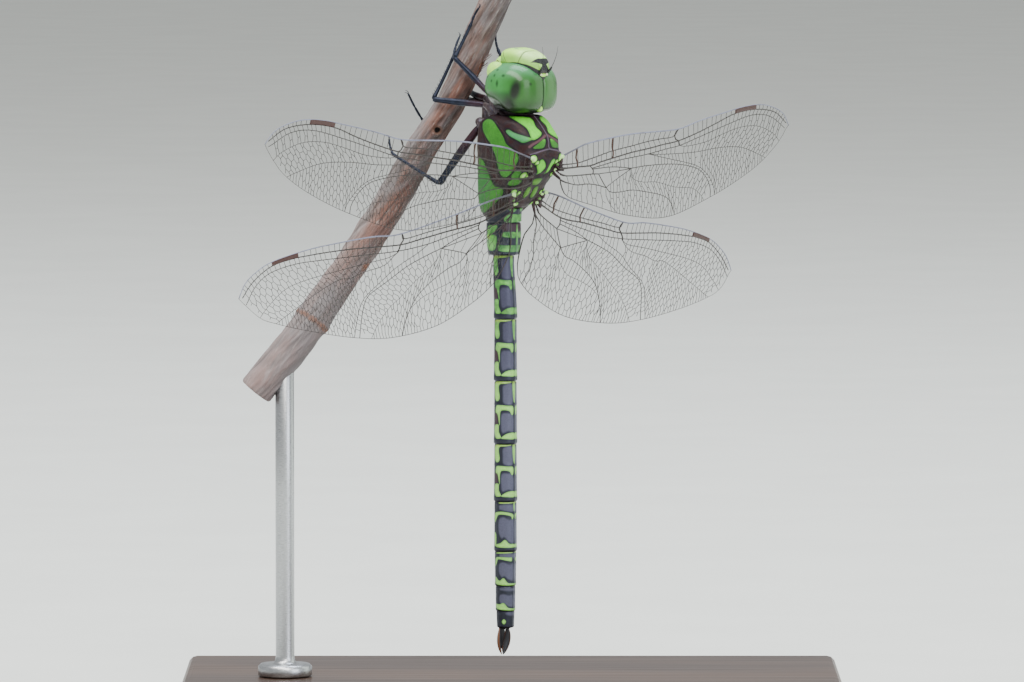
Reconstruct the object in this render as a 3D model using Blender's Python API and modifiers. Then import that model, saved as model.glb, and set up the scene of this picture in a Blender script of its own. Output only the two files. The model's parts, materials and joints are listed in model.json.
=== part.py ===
"""A male darner dragonfly at life size, hanging from a cut length of branch on a display stand.

World frame: +Z up, the front of the model faces -Y, +X is to its right. The origin is the centre of the
stand's underside. The insect hangs head up, turned about the vertical, and is modelled in its own frame,
which the empty "insect_axes" carries: x to its right, y towards its head, z out of its back.
All sizes below are millimetres and angles are degrees; MM turns the sizes into metres.
"""
import math

import bmesh
import bpy
from mathutils import Euler, Matrix, Vector

MM = 0.001
GAP = 0.12               # clear space between neighbouring solids

# Where the insect hangs: its origin is the joint between thorax and abdomen.
INSECT_AT = (-0.86, 0.0, 68.95)
INSECT_TURN = 51.0       # how far it is turned about the vertical
HEAD_AT = (0.0, 15.95, 2.65)
HEAD_TURN = -6.0         # the head looks a little back towards the front

# Head: two large eyes, the face in front of and below them, and the dished plate behind.
EYE_OFFSET = 1.2
EYE_RADII = (3.7, 3.45, 3.9)
EYE_SQUARENESS = 2.35    # 2 is an ellipsoid, more is boxier
NECK_ROOM_AT = (0.0, -3.9, -0.3)
NECK_ROOM_RADII = (3.0, 2.0, 3.0)
HEAD_HOLLOW_AT = (0.0, -4.55, -0.3)
HEAD_HOLLOW_RADII = (3.3, 1.95, 3.3)
FACE_HALF_WIDTH = 2.4
FACE_ROUNDING = 0.8
FACE_OUTLINE = (         # side view of the forehead and the plates below it: forward, up
    (1.5, 3.95), (3.2, 3.7), (4.3, 2.7), (4.95, 1.2), (5.1, -0.4), (4.6, -1.5), (3.5, -1.75), (1.8, -0.9),
    (0.9, 1.2),
)
MOUTH_AT = (0.0, 1.75, -2.55)
MOUTH_RADII = (1.75, 2.35, 1.5)
MOUTH_SQUARENESS = 2.5
ANTENNA_AT = (0.95, 2.0, 4.35)
ANTENNA_LEAN = (0.22, 0.95, 0.12)
ANTENNA_STATIONS = (0.0, 0.7, 3.0)
ANTENNA_RADII = (0.3, 0.26, 0.25)

# Thorax sections from the front to the back: along, top, underside, half width, squareness of the top.
THORAX_SECTIONS = (
    (12.2, 4.8, -1.6, 3.1, 3.0),
    (11.6, 5.4, -2.8, 3.7, 3.2),
    (10.6, 6.3, -3.4, 3.95, 3.2),
    (9.6, 7.0, -3.6, 4.05, 3.3),
    (7.9, 7.2, -3.7, 4.1, 3.5),
    (6.6, 6.95, -3.6, 4.05, 4.0),
    (5.0, 5.9, -3.5, 4.0, 4.0),
    (3.4, 4.9, -3.4, 3.95, 4.0),
    (1.8, 3.95, -3.2, 3.7, 3.6),
    (0.3, 3.0, -2.7, 2.9, 2.6),
)
PROTHORAX_SECTIONS = (
    (12.95, 3.7, 0.8, 1.6, 2.0),
    (12.75, 4.1, 0.3, 2.0, 2.0),
    (12.35, 4.3, -0.2, 2.2, 2.0),
)
SECTION_SIDES = 24

# Wings: outlines along the span and across it, the leading edge to the plus side.
WING_THICKNESS = 0.5
FOREWING_OUTLINE = (
    (-0.7, 0.15), (5.6, 1.5), (14.0, 1.8), (25.4, 1.6), (36.0, 2.9), (44.2, 3.3), (49.6, 1.6), (51.0, -0.2),
    (48.0, -3.1), (41.0, -6.3), (33.5, -8.4), (23.6, -10.1), (14.3, -9.0), (6.3, -6.9), (1.2, -5.4),
    (-0.4, -4.3), (-0.5, -2.6),
)
HINDWING_OUTLINE = (
    (-1.0, 0.15), (3.0, 0.4), (11.0, 0.25), (20.4, 0.4), (31.5, 2.2), (43.2, 2.9), (48.5, 1.4), (50.0, -0.2),
    (47.3, -3.4), (38.5, -7.7), (30.0, -11.0), (22.6, -13.1), (13.5, -14.2), (6.0, -13.3), (2.2, -12.0),
    (0.6, -10.6), (-0.1, -7.5), (-0.4, -3.9),
)
# Wing settings: hinge; pitch of the leading edge towards the back, at the root and at the tip; and for the
# left and the right wing its sweep forward and its droop.
FOREWING_HINGE = (3.65, 6.7, 6.95)
FOREWING_PITCH = (1.0, 8.0)
FOREWING_ANGLES = {"left": (4.0, 2.2), "right": (2.9, 1.9)}
HINDWING_HINGE = (3.95, 1.8, 3.8)
HINDWING_PITCH = (18.0, -4.0)
HINDWING_ANGLES = {"left": (-13.3, 5.9), "right": (-14.4, 7.5)}

# Abdomen: where each of the ten segments ends, and its radius along its length.
SEGMENT_ENDS = (0.15, -1.85, -6.2, -14.6, -22.8, -31.1, -38.7, -45.3, -49.9, -53.2, -55.6)
ABDOMEN_RADII = (
    (0.15, 2.3), (-1.85, 2.25), (-4.0, 2.3), (-6.2, 1.75), (-9.0, 1.52), (-14.6, 1.56), (-38.7, 1.56),
    (-45.3, 1.52), (-49.9, 1.4), (-53.2, 1.3), (-55.6, 1.12),
)
ABDOMEN_DEPTH = 0.95     # height of a cross-section over its width
ABDOMEN_SIDES = 16
SEGMENT_STATIONS = 5
SEGMENT_FLARE = 0.04     # each segment widens by this much from its front end to its back end
CERCUS_OUTLINE = (
    (-0.18, 0.0), (0.2, 0.0), (0.36, 0.9), (0.5, 1.9), (0.42, 2.8), (0.05, 3.45), (-0.2, 3.3),
    (-0.14, 2.6), (-0.3, 1.7), (-0.24, 0.8),
)
CERCUS_THICKNESS = 0.5
CERCUS_AT = (0.62, 0.35)  # to the side and towards the back
CERCUS_SPLAY = 9.0
EPIPROCT_OUTLINE = ((-0.5, 0.0), (0.5, 0.0), (0.3, 1.3), (0.0, 2.0), (-0.3, 1.3))
EPIPROCT_LOWER = 0.45

# Legs: hip, trochanter, knee, ankle and toe of each, in the insect's frame.
LEG_ROUTES = {
    "fore_left": (
        (-1.1, 13.5, -1.7), (-0.2, 15.2, -3.9), (-0.7, 19.6, -8.1), (1.4, 24.0, -7.0), (2.0, 26.1, -6.2),
    ),
    "mid_left": (
        (-1.3, 12.9, -3.1), (0.3, 13.4, -4.2), (-2.1, 14.1, -10.6), (0.5, 19.6, -9.3), (1.9, 22.2, -9.4),
    ),
    "hind_left": (
        (-1.4, 11.6, -4.4), (-0.3, 10.3, -5.0), (-2.5, 3.0, -9.2), (-5.0, 6.8, -15.1), (-4.7, 8.8, -16.0),
    ),
    "fore_right": (
        (1.1, 13.5, -1.7), (2.8, 15.4, -3.3), (4.9, 17.7, -3.5), (5.0, 20.5, -5.3), (5.7, 22.6, -6.3),
    ),
    "mid_right": (
        (1.3, 12.9, -3.1), (2.2, 14.3, -5.2), (5.3, 15.1, -10.8), (5.4, 19.4, -9.2), (5.5, 21.8, -8.4),
    ),
    "hind_right": (
        (1.4, 11.6, -4.4), (2.6, 13.4, -5.7), (5.5, 14.3, -12.8), (1.9, 10.7, -15.4), (-1.4, 14.6, -15.4),
    ),
}
FEMUR_RADII = {"fore": 0.40, "mid": 0.43, "hind": 0.52}
HIP_RADIUS = 0.55
SHIN_RADIUS = 0.27       # the real shins and toes are thinner: half a millimetre is the least made solid
TOE_RADIUS = 0.25
LEG_RESOLUTION = 1

# Perch: a leaning branch, given by its axis and radius from its top end to its lower end.
PERCH_ROUTE = (
    ((-0.4, 6.6, 99.8), 1.95),
    ((-3.9, 7.2, 92.4), 1.95),
    ((-7.7, 7.8, 83.5), 2.0),
    ((-11.5, 8.2, 77.1), 2.05),
    ((-15.2, 8.5, 70.6), 2.1),
    ((-19.2, 8.8, 64.1), 2.15),
    ((-27.6, 9.3, 52.2), 2.3),
    ((-34.1, 9.6, 44.1), 2.35),
)
PERCH_RESOLUTION = 4

# Stand: a flat plate and one upright rod, which carries the perch near its lower end.
BASE_SIZE = (88.0, 74.0, 6.0)
BASE_ROUNDING = 1.2
ROD_RADIUS = 1.25
ROD_FOOT = (3.6, 1.6)    # radius and height of the collar on the plate
ROD_AT_PERCH = 6.4       # index along the perch route where the rod meets it


def clear_scene():
    """Removes whatever the file holds."""
    for thing in list(bpy.data.objects):
        bpy.data.objects.remove(thing, do_unlink=True)


def new_collection(name, hidden=False):
    """A collection in the scene; a hidden one is for cutters."""
    made = bpy.data.collections.new(name)
    made.hide_render = hidden
    bpy.context.scene.collection.children.link(made)
    return made


def finish_of(name, colour, roughness, metallic=0.0):
    """A plain Principled material from an sRGB hex colour."""
    def linear(part):
        value = part / 255.0
        return value / 12.92 if value <= 0.04045 else ((value + 0.055) / 1.055) ** 2.4

    made = bpy.data.materials.new(name)
    made.use_nodes = True
    shader = made.node_tree.nodes["Principled BSDF"]
    parts = [linear(colour >> shift & 255) for shift in (16, 8, 0)]
    shader.inputs["Base Color"].default_value = (*parts, 1.0)
    shader.inputs["Roughness"].default_value = roughness
    shader.inputs["Metallic"].default_value = metallic
    made.diffuse_color = (*parts, 1.0)
    return made


def scaled(point):
    """A point in millimetres as a vector in metres."""
    return Vector([value * MM for value in point])


def place(thing, collection, parent=None, finish=None):
    """Links an object into a collection, under its parent, with its finish."""
    collection.objects.link(thing)
    thing.parent = parent
    if finish is not None:
        thing.data.materials.append(finish)
    return thing


def mesh_object(name, work):
    """An object that holds a bmesh, which is freed."""
    mesh = bpy.data.meshes.new(name)
    work.to_mesh(mesh)
    work.free()
    mesh.shade_smooth()
    mesh.set_sharp_from_angle(angle=math.radians(40))
    return bpy.data.objects.new(name, mesh)


def tube(name, points, radii, resolution, smooth=False):
    """A round bar along the points, in millimetres, with its own radius at each."""
    curve = bpy.data.curves.new(name, "CURVE")
    curve.dimensions = "3D"
    curve.bevel_depth = 1.0
    curve.bevel_resolution = resolution
    curve.use_fill_caps = True
    curve.resolution_u = 3
    curve.render_resolution_u = 0
    curve.use_radius = True
    spline = curve.splines.new("BEZIER" if smooth else "POLY")
    if smooth:
        spline.bezier_points.add(len(points) - 1)
        for knot, point, radius in zip(spline.bezier_points, points, radii):
            knot.co = scaled(point)
            knot.radius = radius * MM
            knot.handle_left_type = "AUTO"
            knot.handle_right_type = "AUTO"
    else:
        spline.points.add(len(points) - 1)
        for knot, point, radius in zip(spline.points, points, radii):
            knot.co = (*scaled(point), 1.0)
            knot.radius = radius * MM
    return bpy.data.objects.new(name, curve)


def plate(name, outline, thickness, rounding=0.0, grow=0.0, side_steps=4):
    """A flat form cut to a smooth outline in its own x and y, centred on z, with rounded rims."""
    curve = bpy.data.curves.new(name, "CURVE")
    curve.dimensions = "2D"
    curve.fill_mode = "BOTH"
    curve.extrude = (thickness / 2 + grow - rounding) * MM
    curve.bevel_depth = rounding * MM
    curve.bevel_resolution = 2
    curve.offset = (grow - rounding) * MM
    curve.resolution_u = side_steps
    curve.render_resolution_u = 0
    spline = curve.splines.new("BEZIER")
    spline.use_cyclic_u = True
    spline.bezier_points.add(len(outline) - 1)
    for knot, point in zip(spline.bezier_points, outline):
        knot.co = scaled((*point, 0.0))
        knot.handle_left_type = "AUTO"
        knot.handle_right_type = "AUTO"
    return bpy.data.objects.new(name, curve)


def made_mesh(curve_object):
    """A mesh object with a curve object's evaluated shape, its caps joined on. The curve is removed."""
    curve_object.hide_render = True
    bpy.context.scene.collection.objects.link(curve_object)
    graph = bpy.context.evaluated_depsgraph_get()
    mesh = bpy.data.meshes.new_from_object(curve_object.evaluated_get(graph))
    work = bmesh.new()
    work.from_mesh(mesh)
    bmesh.ops.remove_doubles(work, verts=work.verts, dist=0.0005 * MM)
    bmesh.ops.recalc_face_normals(work, faces=work.faces)
    name = curve_object.name
    turn = curve_object.matrix_world.copy()
    bpy.data.objects.remove(curve_object)
    bpy.data.meshes.remove(mesh)
    made = mesh_object(name, work)
    made.name = name
    made.matrix_world = turn
    return made


def rounded_form(name, centre, radii, squareness=2.0, segments=24, rings=14):
    """A closed egg: a ball stretched to three radii, boxier where squareness is over 2."""
    work = bmesh.new()
    bmesh.ops.create_uvsphere(work, u_segments=segments, v_segments=rings, radius=1.0)
    for vertex in work.verts:
        total = sum(abs(value) ** squareness for value in vertex.co)
        reach = total ** (-1.0 / squareness)
        reached = [value * reach * radius * MM for value, radius in zip(vertex.co, radii)]
        vertex.co = Vector(reached) + scaled(centre)
    return mesh_object(name, work)


def section_ring(section):
    """Points round one cross-section: half ovals above and below the middle, the upper one squarer."""
    along, top, underside, half_width, squareness = section
    middle = (top + underside) / 2
    half_height = (top - underside) / 2
    ring = []
    for step in range(SECTION_SIDES):
        turn = 2 * math.pi * (step + 0.5) / SECTION_SIDES
        power = 2.0 / (squareness if math.sin(turn) > 0 else 2.2)
        across = math.copysign(abs(math.cos(turn)) ** power, math.cos(turn))
        up = math.copysign(abs(math.sin(turn)) ** power, math.sin(turn))
        ring.append((half_width * across, along, middle + half_height * up))
    return ring


def loft(name, sections):
    """A closed skin through cross-sections that differ in shape, front first."""
    work = bmesh.new()
    rings = [[work.verts.new(scaled(point)) for point in section_ring(section)] for section in sections]
    for front, back in zip(rings, rings[1:]):
        for step in range(SECTION_SIDES):
            following = (step + 1) % SECTION_SIDES
            work.faces.new((front[step], front[following], back[following], back[step]))
    for ring in (rings[0], rings[-1]):
        work.faces.new(ring)
    bmesh.ops.recalc_face_normals(work, faces=work.faces)
    return mesh_object(name, work)


def turned(name, profile, sides):
    """A form turned about its own z axis from a profile of (radius, height), in millimetres, top first."""
    work = bmesh.new()
    knots = [work.verts.new(scaled((radius, 0.0, height))) for radius, height in profile]
    for upper, lower in zip(knots, knots[1:]):
        work.edges.new((upper, lower))
    thing = mesh_object(name, work)
    screw = thing.modifiers.new("turned", "SCREW")
    screw.axis = "Z"
    screw.steps = sides
    screw.render_steps = sides
    screw.use_merge_vertices = True
    screw.merge_threshold = 0.00001
    return thing


def place_cutter(cutter, cutters, parent):
    """Puts a cutter with the others, seen as wire and left out of renders."""
    cutters.objects.link(cutter)
    cutter.parent = parent
    cutter.hide_render = True
    cutter.display_type = "WIRE"


def cut(thing, cutter):
    """Takes a cutter's shape out of a mesh object."""
    boolean = thing.modifiers.new("cut by " + cutter.name, "BOOLEAN")
    boolean.operation = "DIFFERENCE"
    boolean.object = cutter


def build_head(parts, cutters, axes, finishes):
    """The eyes, the face, the dished plate behind them and the two feelers, in the head's own frame."""
    upright = Euler((math.radians(90), 0.0, math.radians(90))).to_matrix().to_4x4()
    face = plate("face", FACE_OUTLINE, 2 * FACE_HALF_WIDTH, FACE_ROUNDING)
    face_room = plate("face_room", FACE_OUTLINE, 2 * FACE_HALF_WIDTH, FACE_ROUNDING, grow=GAP)
    face.matrix_world = upright
    face_room.matrix_world = upright
    place(made_mesh(face), parts, axes, finishes["face"])
    face_room = made_mesh(face_room)
    room_radii = [radius + GAP for radius in MOUTH_RADII]
    mouth_room = rounded_form("mouth_room", MOUTH_AT, room_radii, MOUTH_SQUARENESS, segments=20)
    neck_room = rounded_form("neck_room", NECK_ROOM_AT, NECK_ROOM_RADII, segments=20, rings=10)
    rooms = (face_room, mouth_room, neck_room)
    for room in rooms:
        place_cutter(room, cutters, axes)
    mouth = rounded_form("mouthparts", MOUTH_AT, MOUTH_RADII, MOUTH_SQUARENESS, segments=20)
    place(mouth, parts, axes, finishes["face"])
    cut(mouth, face_room)
    for side, word in ((-1, "left"), (1, "right")):
        eye = rounded_form("eye_" + word, (side * EYE_OFFSET, 0.0, 0.0), EYE_RADII, EYE_SQUARENESS)
        halve(eye, side)
        place(eye, parts, axes, finishes["eye"])
        for room in rooms:
            cut(eye, room)
        root = Vector((side * ANTENNA_AT[0], ANTENNA_AT[1], ANTENNA_AT[2]))
        lean = Vector((side * ANTENNA_LEAN[0], ANTENNA_LEAN[1], ANTENNA_LEAN[2])).normalized()
        points = [root + lean * reach for reach in ANTENNA_STATIONS]
        feeler = tube("antenna_" + word, points, ANTENNA_RADII, LEG_RESOLUTION)
        place(feeler, parts, axes, finishes["black"])
    back_radii = [radius - GAP for radius in NECK_ROOM_RADII]
    back = rounded_form("head", NECK_ROOM_AT, back_radii, segments=20, rings=10)
    hollow = rounded_form("head_hollow", HEAD_HOLLOW_AT, HEAD_HOLLOW_RADII, segments=20, rings=10)
    place(back, parts, axes, finishes["black"])
    place_cutter(hollow, cutters, axes)
    cut(back, hollow)


def halve(eye, side):
    """Trims an eye to its own side of the seam between the two."""
    work = bmesh.new()
    work.from_mesh(eye.data)
    trimmed = bmesh.ops.bisect_plane(
        work,
        geom=work.verts[:] + work.edges[:] + work.faces[:],
        plane_co=(side * GAP / 2 * MM, 0, 0),
        plane_no=(-side, 0, 0),
        clear_outer=True,
    )
    rim = [item for item in trimmed["geom_cut"] if isinstance(item, bmesh.types.BMEdge)]
    bmesh.ops.triangle_fill(work, edges=rim, use_beauty=True)
    bmesh.ops.recalc_face_normals(work, faces=work.faces)
    work.to_mesh(eye.data)
    work.free()


def wing_matrix(side, hinge, angles, pitch):
    """The wing's own frame in the insect's: x along the span, y towards the leading edge."""
    sweep, droop = [math.radians(angle) for angle in angles]
    outwards = side * math.cos(sweep) * math.cos(droop)
    span = Vector((outwards, math.sin(sweep), -math.cos(sweep) * math.sin(droop)))
    span.normalize()
    forward = Vector((0, 1, 0))
    level = (forward - span * span.dot(forward)).normalized()
    upwards = span.cross(level) * side
    chord = level * math.cos(math.radians(pitch)) + upwards * math.sin(math.radians(pitch))
    normal = span.cross(chord)
    frame = Matrix((span, chord, normal)).transposed().to_4x4()
    frame.translation = scaled((side * hinge[0], hinge[1], hinge[2]))
    return frame


def twist(wing, turn):
    """Turns each rib of a wing about its span, more towards the tip, where the turn is the whole angle."""
    span = max(vertex.co.x for vertex in wing.data.vertices)
    for vertex in wing.data.vertices:
        share = max(0.0, vertex.co.x / span)
        vertex.co.rotate(Euler((math.radians(turn) * share, 0.0, 0.0)))


def build_wings(parts, axes, finishes):
    """Four thin wings, each on its hinge and twisted along its span."""
    pairs = (
        ("forewing_", FOREWING_OUTLINE, FOREWING_HINGE, FOREWING_PITCH, FOREWING_ANGLES),
        ("hindwing_", HINDWING_OUTLINE, HINDWING_HINGE, HINDWING_PITCH, HINDWING_ANGLES),
    )
    for name, outline, hinge, (root_pitch, tip_pitch), angles in pairs:
        for side, word in ((-1, "left"), (1, "right")):
            wing = made_mesh(plate(name + word, outline, WING_THICKNESS))
            twist(wing, side * (tip_pitch - root_pitch))
            place(wing, parts, axes, finishes["wing"])
            wing.matrix_local = wing_matrix(side, hinge, angles[word], root_pitch)


def abdomen_radius(along):
    """The abdomen's radius, read between its stations."""
    for (front, wide), (back, narrow) in zip(ABDOMEN_RADII, ABDOMEN_RADII[1:]):
        if along >= back:
            share = (front - along) / (front - back)
            return wide + (narrow - wide) * share
    return ABDOMEN_RADII[-1][1]


def build_abdomen(parts, axes, finishes):
    """Ten turned segments, the two claspers and the plate below them."""
    for number, (front, back) in enumerate(zip(SEGMENT_ENDS, SEGMENT_ENDS[1:]), start=1):
        first = front - GAP / 2
        last = back + GAP / 2
        profile = [(0.0, first)]
        for step in range(SEGMENT_STATIONS):
            share = step / (SEGMENT_STATIONS - 1)
            along = first + (last - first) * share
            flare = SEGMENT_FLARE * (2 * share - 1)
            profile.append((abdomen_radius(along) + flare, along))
        profile.append((0.0, last))
        segment = turned(f"abdomen_{number}", profile, ABDOMEN_SIDES)
        place(segment, parts, axes, finishes["abdomen"])
        segment.rotation_euler = (math.radians(-90), 0, 0)
        segment.scale = (1.0, ABDOMEN_DEPTH, 1.0)
    tip = SEGMENT_ENDS[-1] - 2 * GAP
    for side, word in ((-1, "left"), (1, "right")):
        cercus = plate("cercus_" + word, CERCUS_OUTLINE, CERCUS_THICKNESS)
        place(cercus, parts, axes, finishes["cercus"])
        cercus.location = scaled((side * CERCUS_AT[0], tip, CERCUS_AT[1]))
        turn = math.radians(180 if side > 0 else 0)
        cercus.rotation_euler = (math.radians(180), turn, math.radians(side * CERCUS_SPLAY))
    epiproct = plate("epiproct", EPIPROCT_OUTLINE, CERCUS_THICKNESS)
    place(epiproct, parts, axes, finishes["cercus"])
    epiproct.location = scaled((0.0, tip, -EPIPROCT_LOWER))
    epiproct.rotation_euler = (math.radians(180), 0, 0)


def build_legs(parts, axes, finishes):
    """Each leg's thigh with its hip, its shin and its toes, from the routes of the joints."""
    for name, route in LEG_ROUTES.items():
        hip, trochanter, knee, ankle, toe = [Vector(point) for point in route]
        thick = FEMUR_RADII[name.split("_")[0]]
        shin_way = (ankle - knee).normalized()
        toe_way = (toe - ankle).normalized()
        swell = trochanter.lerp(knee, 0.4)
        femur = tube(
            "femur_" + name,
            (hip, trochanter, swell, knee),
            (HIP_RADIUS, thick * 0.85, thick, thick * 0.8),
            LEG_RESOLUTION,
        )
        shin = tube(
            "tibia_" + name,
            (knee + shin_way * (thick + GAP), ankle),
            (SHIN_RADIUS, SHIN_RADIUS),
            LEG_RESOLUTION,
        )
        toes = tube(
            "tarsus_" + name,
            (ankle + toe_way * (SHIN_RADIUS + GAP), toe),
            (TOE_RADIUS, TOE_RADIUS),
            LEG_RESOLUTION,
        )
        for piece in (femur, shin, toes):
            place(piece, parts, axes, finishes["black"])


def perch_point(index):
    """A point and a radius on the perch's route, between its listed ones."""
    low = min(int(index), len(PERCH_ROUTE) - 2)
    (start, thick), (end, thicker) = PERCH_ROUTE[low], PERCH_ROUTE[low + 1]
    share = index - low
    return Vector(start).lerp(Vector(end), share), thick + (thicker - thick) * share


def build_perch_and_stand(parts, finishes):
    """The branch, the plate and the rod between them."""
    perch = tube(
        "perch",
        [point for point, _ in PERCH_ROUTE],
        [radius for _, radius in PERCH_ROUTE],
        PERCH_RESOLUTION,
        smooth=True,
    )
    place(perch, parts, None, finishes["bark"])

    work = bmesh.new()
    bmesh.ops.create_cube(work, size=1.0)
    bmesh.ops.scale(work, vec=scaled(BASE_SIZE), verts=work.verts)
    base = mesh_object("stand_base", work)
    place(base, parts, None, finishes["wood"])
    base.location = scaled((0.0, 0.0, BASE_SIZE[2] / 2))
    bevel = base.modifiers.new("rounded edges", "BEVEL")
    bevel.width = BASE_ROUNDING * MM
    bevel.segments = 3

    at, radius = perch_point(ROD_AT_PERCH)
    before, _ = perch_point(ROD_AT_PERCH - 0.5)
    after, _ = perch_point(ROD_AT_PERCH + 0.5)
    run = (after - before).normalized()
    slope = math.hypot(run.x, run.y) / abs(run.z)
    drop = radius * math.sqrt(1 + 1 / slope ** 2) + ROD_RADIUS / slope
    foot_radius, foot_height = ROD_FOOT
    floor = BASE_SIZE[2] + GAP
    top = at.z - drop - GAP
    profile = (
        (0.0, top),
        (ROD_RADIUS, top),
        (ROD_RADIUS, floor + foot_height + 0.3),
        (ROD_RADIUS + 0.4, floor + foot_height),
        (foot_radius - 0.4, floor + foot_height),
        (foot_radius, floor + foot_height - 0.4),
        (foot_radius, floor),
        (0.0, floor),
    )
    rod = turned("stand_rod", profile, 16)
    place(rod, parts, None, finishes["steel"])
    rod.location = scaled((at.x, at.y, 0.0))


def main():
    """Builds the whole model."""
    clear_scene()
    parts = new_collection("darner_dragonfly")
    cutters = new_collection("cutters", hidden=True)
    finishes = {
        "eye": finish_of("green_eye", 0x5E9A58, 0.18),
        "face": finish_of("yellow_green_face", 0xB4D86A, 0.35),
        "thorax": finish_of("green_and_brown_thorax", 0x6E9A3C, 0.42),
        "abdomen": finish_of("black_and_green_abdomen", 0x2B3438, 0.36),
        "cercus": finish_of("brown_clasper", 0x2A1B18, 0.4),
        "black": finish_of("black_chitin", 0x17181C, 0.35),
        "wing": finish_of("clear_wing", 0xC9CCBE, 0.2),
        "bark": finish_of("grey_brown_bark", 0x7C6459, 0.85),
        "wood": finish_of("dark_stained_wood", 0x3A2A20, 0.45),
        "steel": finish_of("satin_steel", 0xB4B6B8, 0.3, 1.0),
    }

    insect_axes = bpy.data.objects.new("insect_axes", None)
    place(insect_axes, parts)
    insect_axes.location = scaled(INSECT_AT)
    insect_axes.rotation_euler = (math.radians(90), 0, math.radians(INSECT_TURN))
    head_axes = bpy.data.objects.new("head_axes", None)
    place(head_axes, parts, insect_axes)
    head_axes.location = scaled(HEAD_AT)
    head_axes.rotation_euler = (0, math.radians(HEAD_TURN), 0)

    build_head(parts, cutters, head_axes, finishes)
    place(loft("prothorax", PROTHORAX_SECTIONS), parts, insect_axes, finishes["thorax"])
    place(loft("thorax", THORAX_SECTIONS), parts, insect_axes, finishes["thorax"])
    build_wings(parts, insect_axes, finishes)
    build_abdomen(parts, insect_axes, finishes)
    build_legs(parts, insect_axes, finishes)
    build_perch_and_stand(parts, finishes)
    bpy.context.view_layer.update()


main()
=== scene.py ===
"""Dresses a life-size model of a male darner dragonfly that hangs from a cut branch on a display stand.

The packed solids set the frame. Each operator makes one piece, or one group of like pieces. The insect's own
frame has x to its right, y towards its head and z out of its back. Lengths in the code are millimetres, except
in the settings, the stage and the meshes, which are in metres.
"""
import json
import math
import sys
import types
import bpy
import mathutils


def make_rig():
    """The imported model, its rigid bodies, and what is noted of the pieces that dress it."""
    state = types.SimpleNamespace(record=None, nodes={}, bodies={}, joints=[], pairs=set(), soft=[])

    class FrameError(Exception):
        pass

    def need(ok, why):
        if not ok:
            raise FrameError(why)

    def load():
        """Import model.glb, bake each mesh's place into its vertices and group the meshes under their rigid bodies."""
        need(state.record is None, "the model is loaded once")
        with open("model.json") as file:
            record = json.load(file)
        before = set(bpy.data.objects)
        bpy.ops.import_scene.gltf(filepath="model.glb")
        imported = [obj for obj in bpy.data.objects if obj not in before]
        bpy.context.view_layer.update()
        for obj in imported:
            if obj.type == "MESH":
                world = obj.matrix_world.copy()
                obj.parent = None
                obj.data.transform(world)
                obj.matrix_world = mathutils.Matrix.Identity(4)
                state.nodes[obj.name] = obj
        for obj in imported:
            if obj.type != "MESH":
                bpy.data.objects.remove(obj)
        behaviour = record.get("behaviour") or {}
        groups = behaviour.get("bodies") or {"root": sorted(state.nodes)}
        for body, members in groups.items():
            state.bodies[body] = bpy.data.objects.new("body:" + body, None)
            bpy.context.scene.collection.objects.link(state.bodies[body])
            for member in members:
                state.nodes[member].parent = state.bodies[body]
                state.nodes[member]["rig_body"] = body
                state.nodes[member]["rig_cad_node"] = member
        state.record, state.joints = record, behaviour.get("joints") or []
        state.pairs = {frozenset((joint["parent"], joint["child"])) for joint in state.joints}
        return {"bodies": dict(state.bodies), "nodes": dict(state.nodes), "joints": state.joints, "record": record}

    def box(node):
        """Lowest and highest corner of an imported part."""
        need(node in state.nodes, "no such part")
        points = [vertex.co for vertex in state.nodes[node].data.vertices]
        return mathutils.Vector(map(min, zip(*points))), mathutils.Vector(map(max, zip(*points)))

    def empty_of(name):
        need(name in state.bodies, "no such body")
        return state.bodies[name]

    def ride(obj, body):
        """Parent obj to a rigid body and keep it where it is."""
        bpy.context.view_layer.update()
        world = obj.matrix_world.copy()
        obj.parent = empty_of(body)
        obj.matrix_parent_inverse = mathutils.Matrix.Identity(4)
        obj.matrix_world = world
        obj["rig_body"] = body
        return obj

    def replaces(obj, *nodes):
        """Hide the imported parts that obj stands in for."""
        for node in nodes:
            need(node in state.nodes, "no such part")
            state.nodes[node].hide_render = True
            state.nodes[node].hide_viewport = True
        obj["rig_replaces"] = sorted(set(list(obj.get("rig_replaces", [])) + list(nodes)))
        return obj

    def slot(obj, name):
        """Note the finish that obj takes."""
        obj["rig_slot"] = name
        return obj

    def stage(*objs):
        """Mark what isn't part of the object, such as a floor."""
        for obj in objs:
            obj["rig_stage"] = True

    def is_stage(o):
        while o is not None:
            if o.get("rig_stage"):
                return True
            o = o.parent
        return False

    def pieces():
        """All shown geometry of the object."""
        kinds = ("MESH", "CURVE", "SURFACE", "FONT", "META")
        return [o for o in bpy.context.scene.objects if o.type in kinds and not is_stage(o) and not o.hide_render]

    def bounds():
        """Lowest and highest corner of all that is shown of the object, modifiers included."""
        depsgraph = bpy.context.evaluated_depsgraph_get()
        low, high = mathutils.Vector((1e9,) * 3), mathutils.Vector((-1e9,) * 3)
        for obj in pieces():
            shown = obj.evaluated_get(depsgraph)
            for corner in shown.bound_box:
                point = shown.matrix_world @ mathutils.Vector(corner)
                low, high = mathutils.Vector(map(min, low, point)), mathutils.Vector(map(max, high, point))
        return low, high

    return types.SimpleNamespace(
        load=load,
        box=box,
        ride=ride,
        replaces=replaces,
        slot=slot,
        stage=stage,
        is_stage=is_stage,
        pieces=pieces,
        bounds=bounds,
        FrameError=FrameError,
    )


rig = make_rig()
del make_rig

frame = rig.load()

import bpy
import numpy as np
from bpy.props import FloatProperty, FloatVectorProperty, PointerProperty
from mathutils import Euler, Matrix, Quaternion, Vector

bl_info = {
    "name": "Darner Dragonfly",
    "version": (1, 0, 0),
    "blender": (4, 5, 0),
    "location": "View3D > Sidebar > Darner",
    "description": "Builds the skin, eyes, veined wings, legs, perch and stage of a darner dragonfly",
    "category": "Object",
}

MM = 0.001
CAD_BOX = [list(corner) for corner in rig.bounds()]

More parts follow.
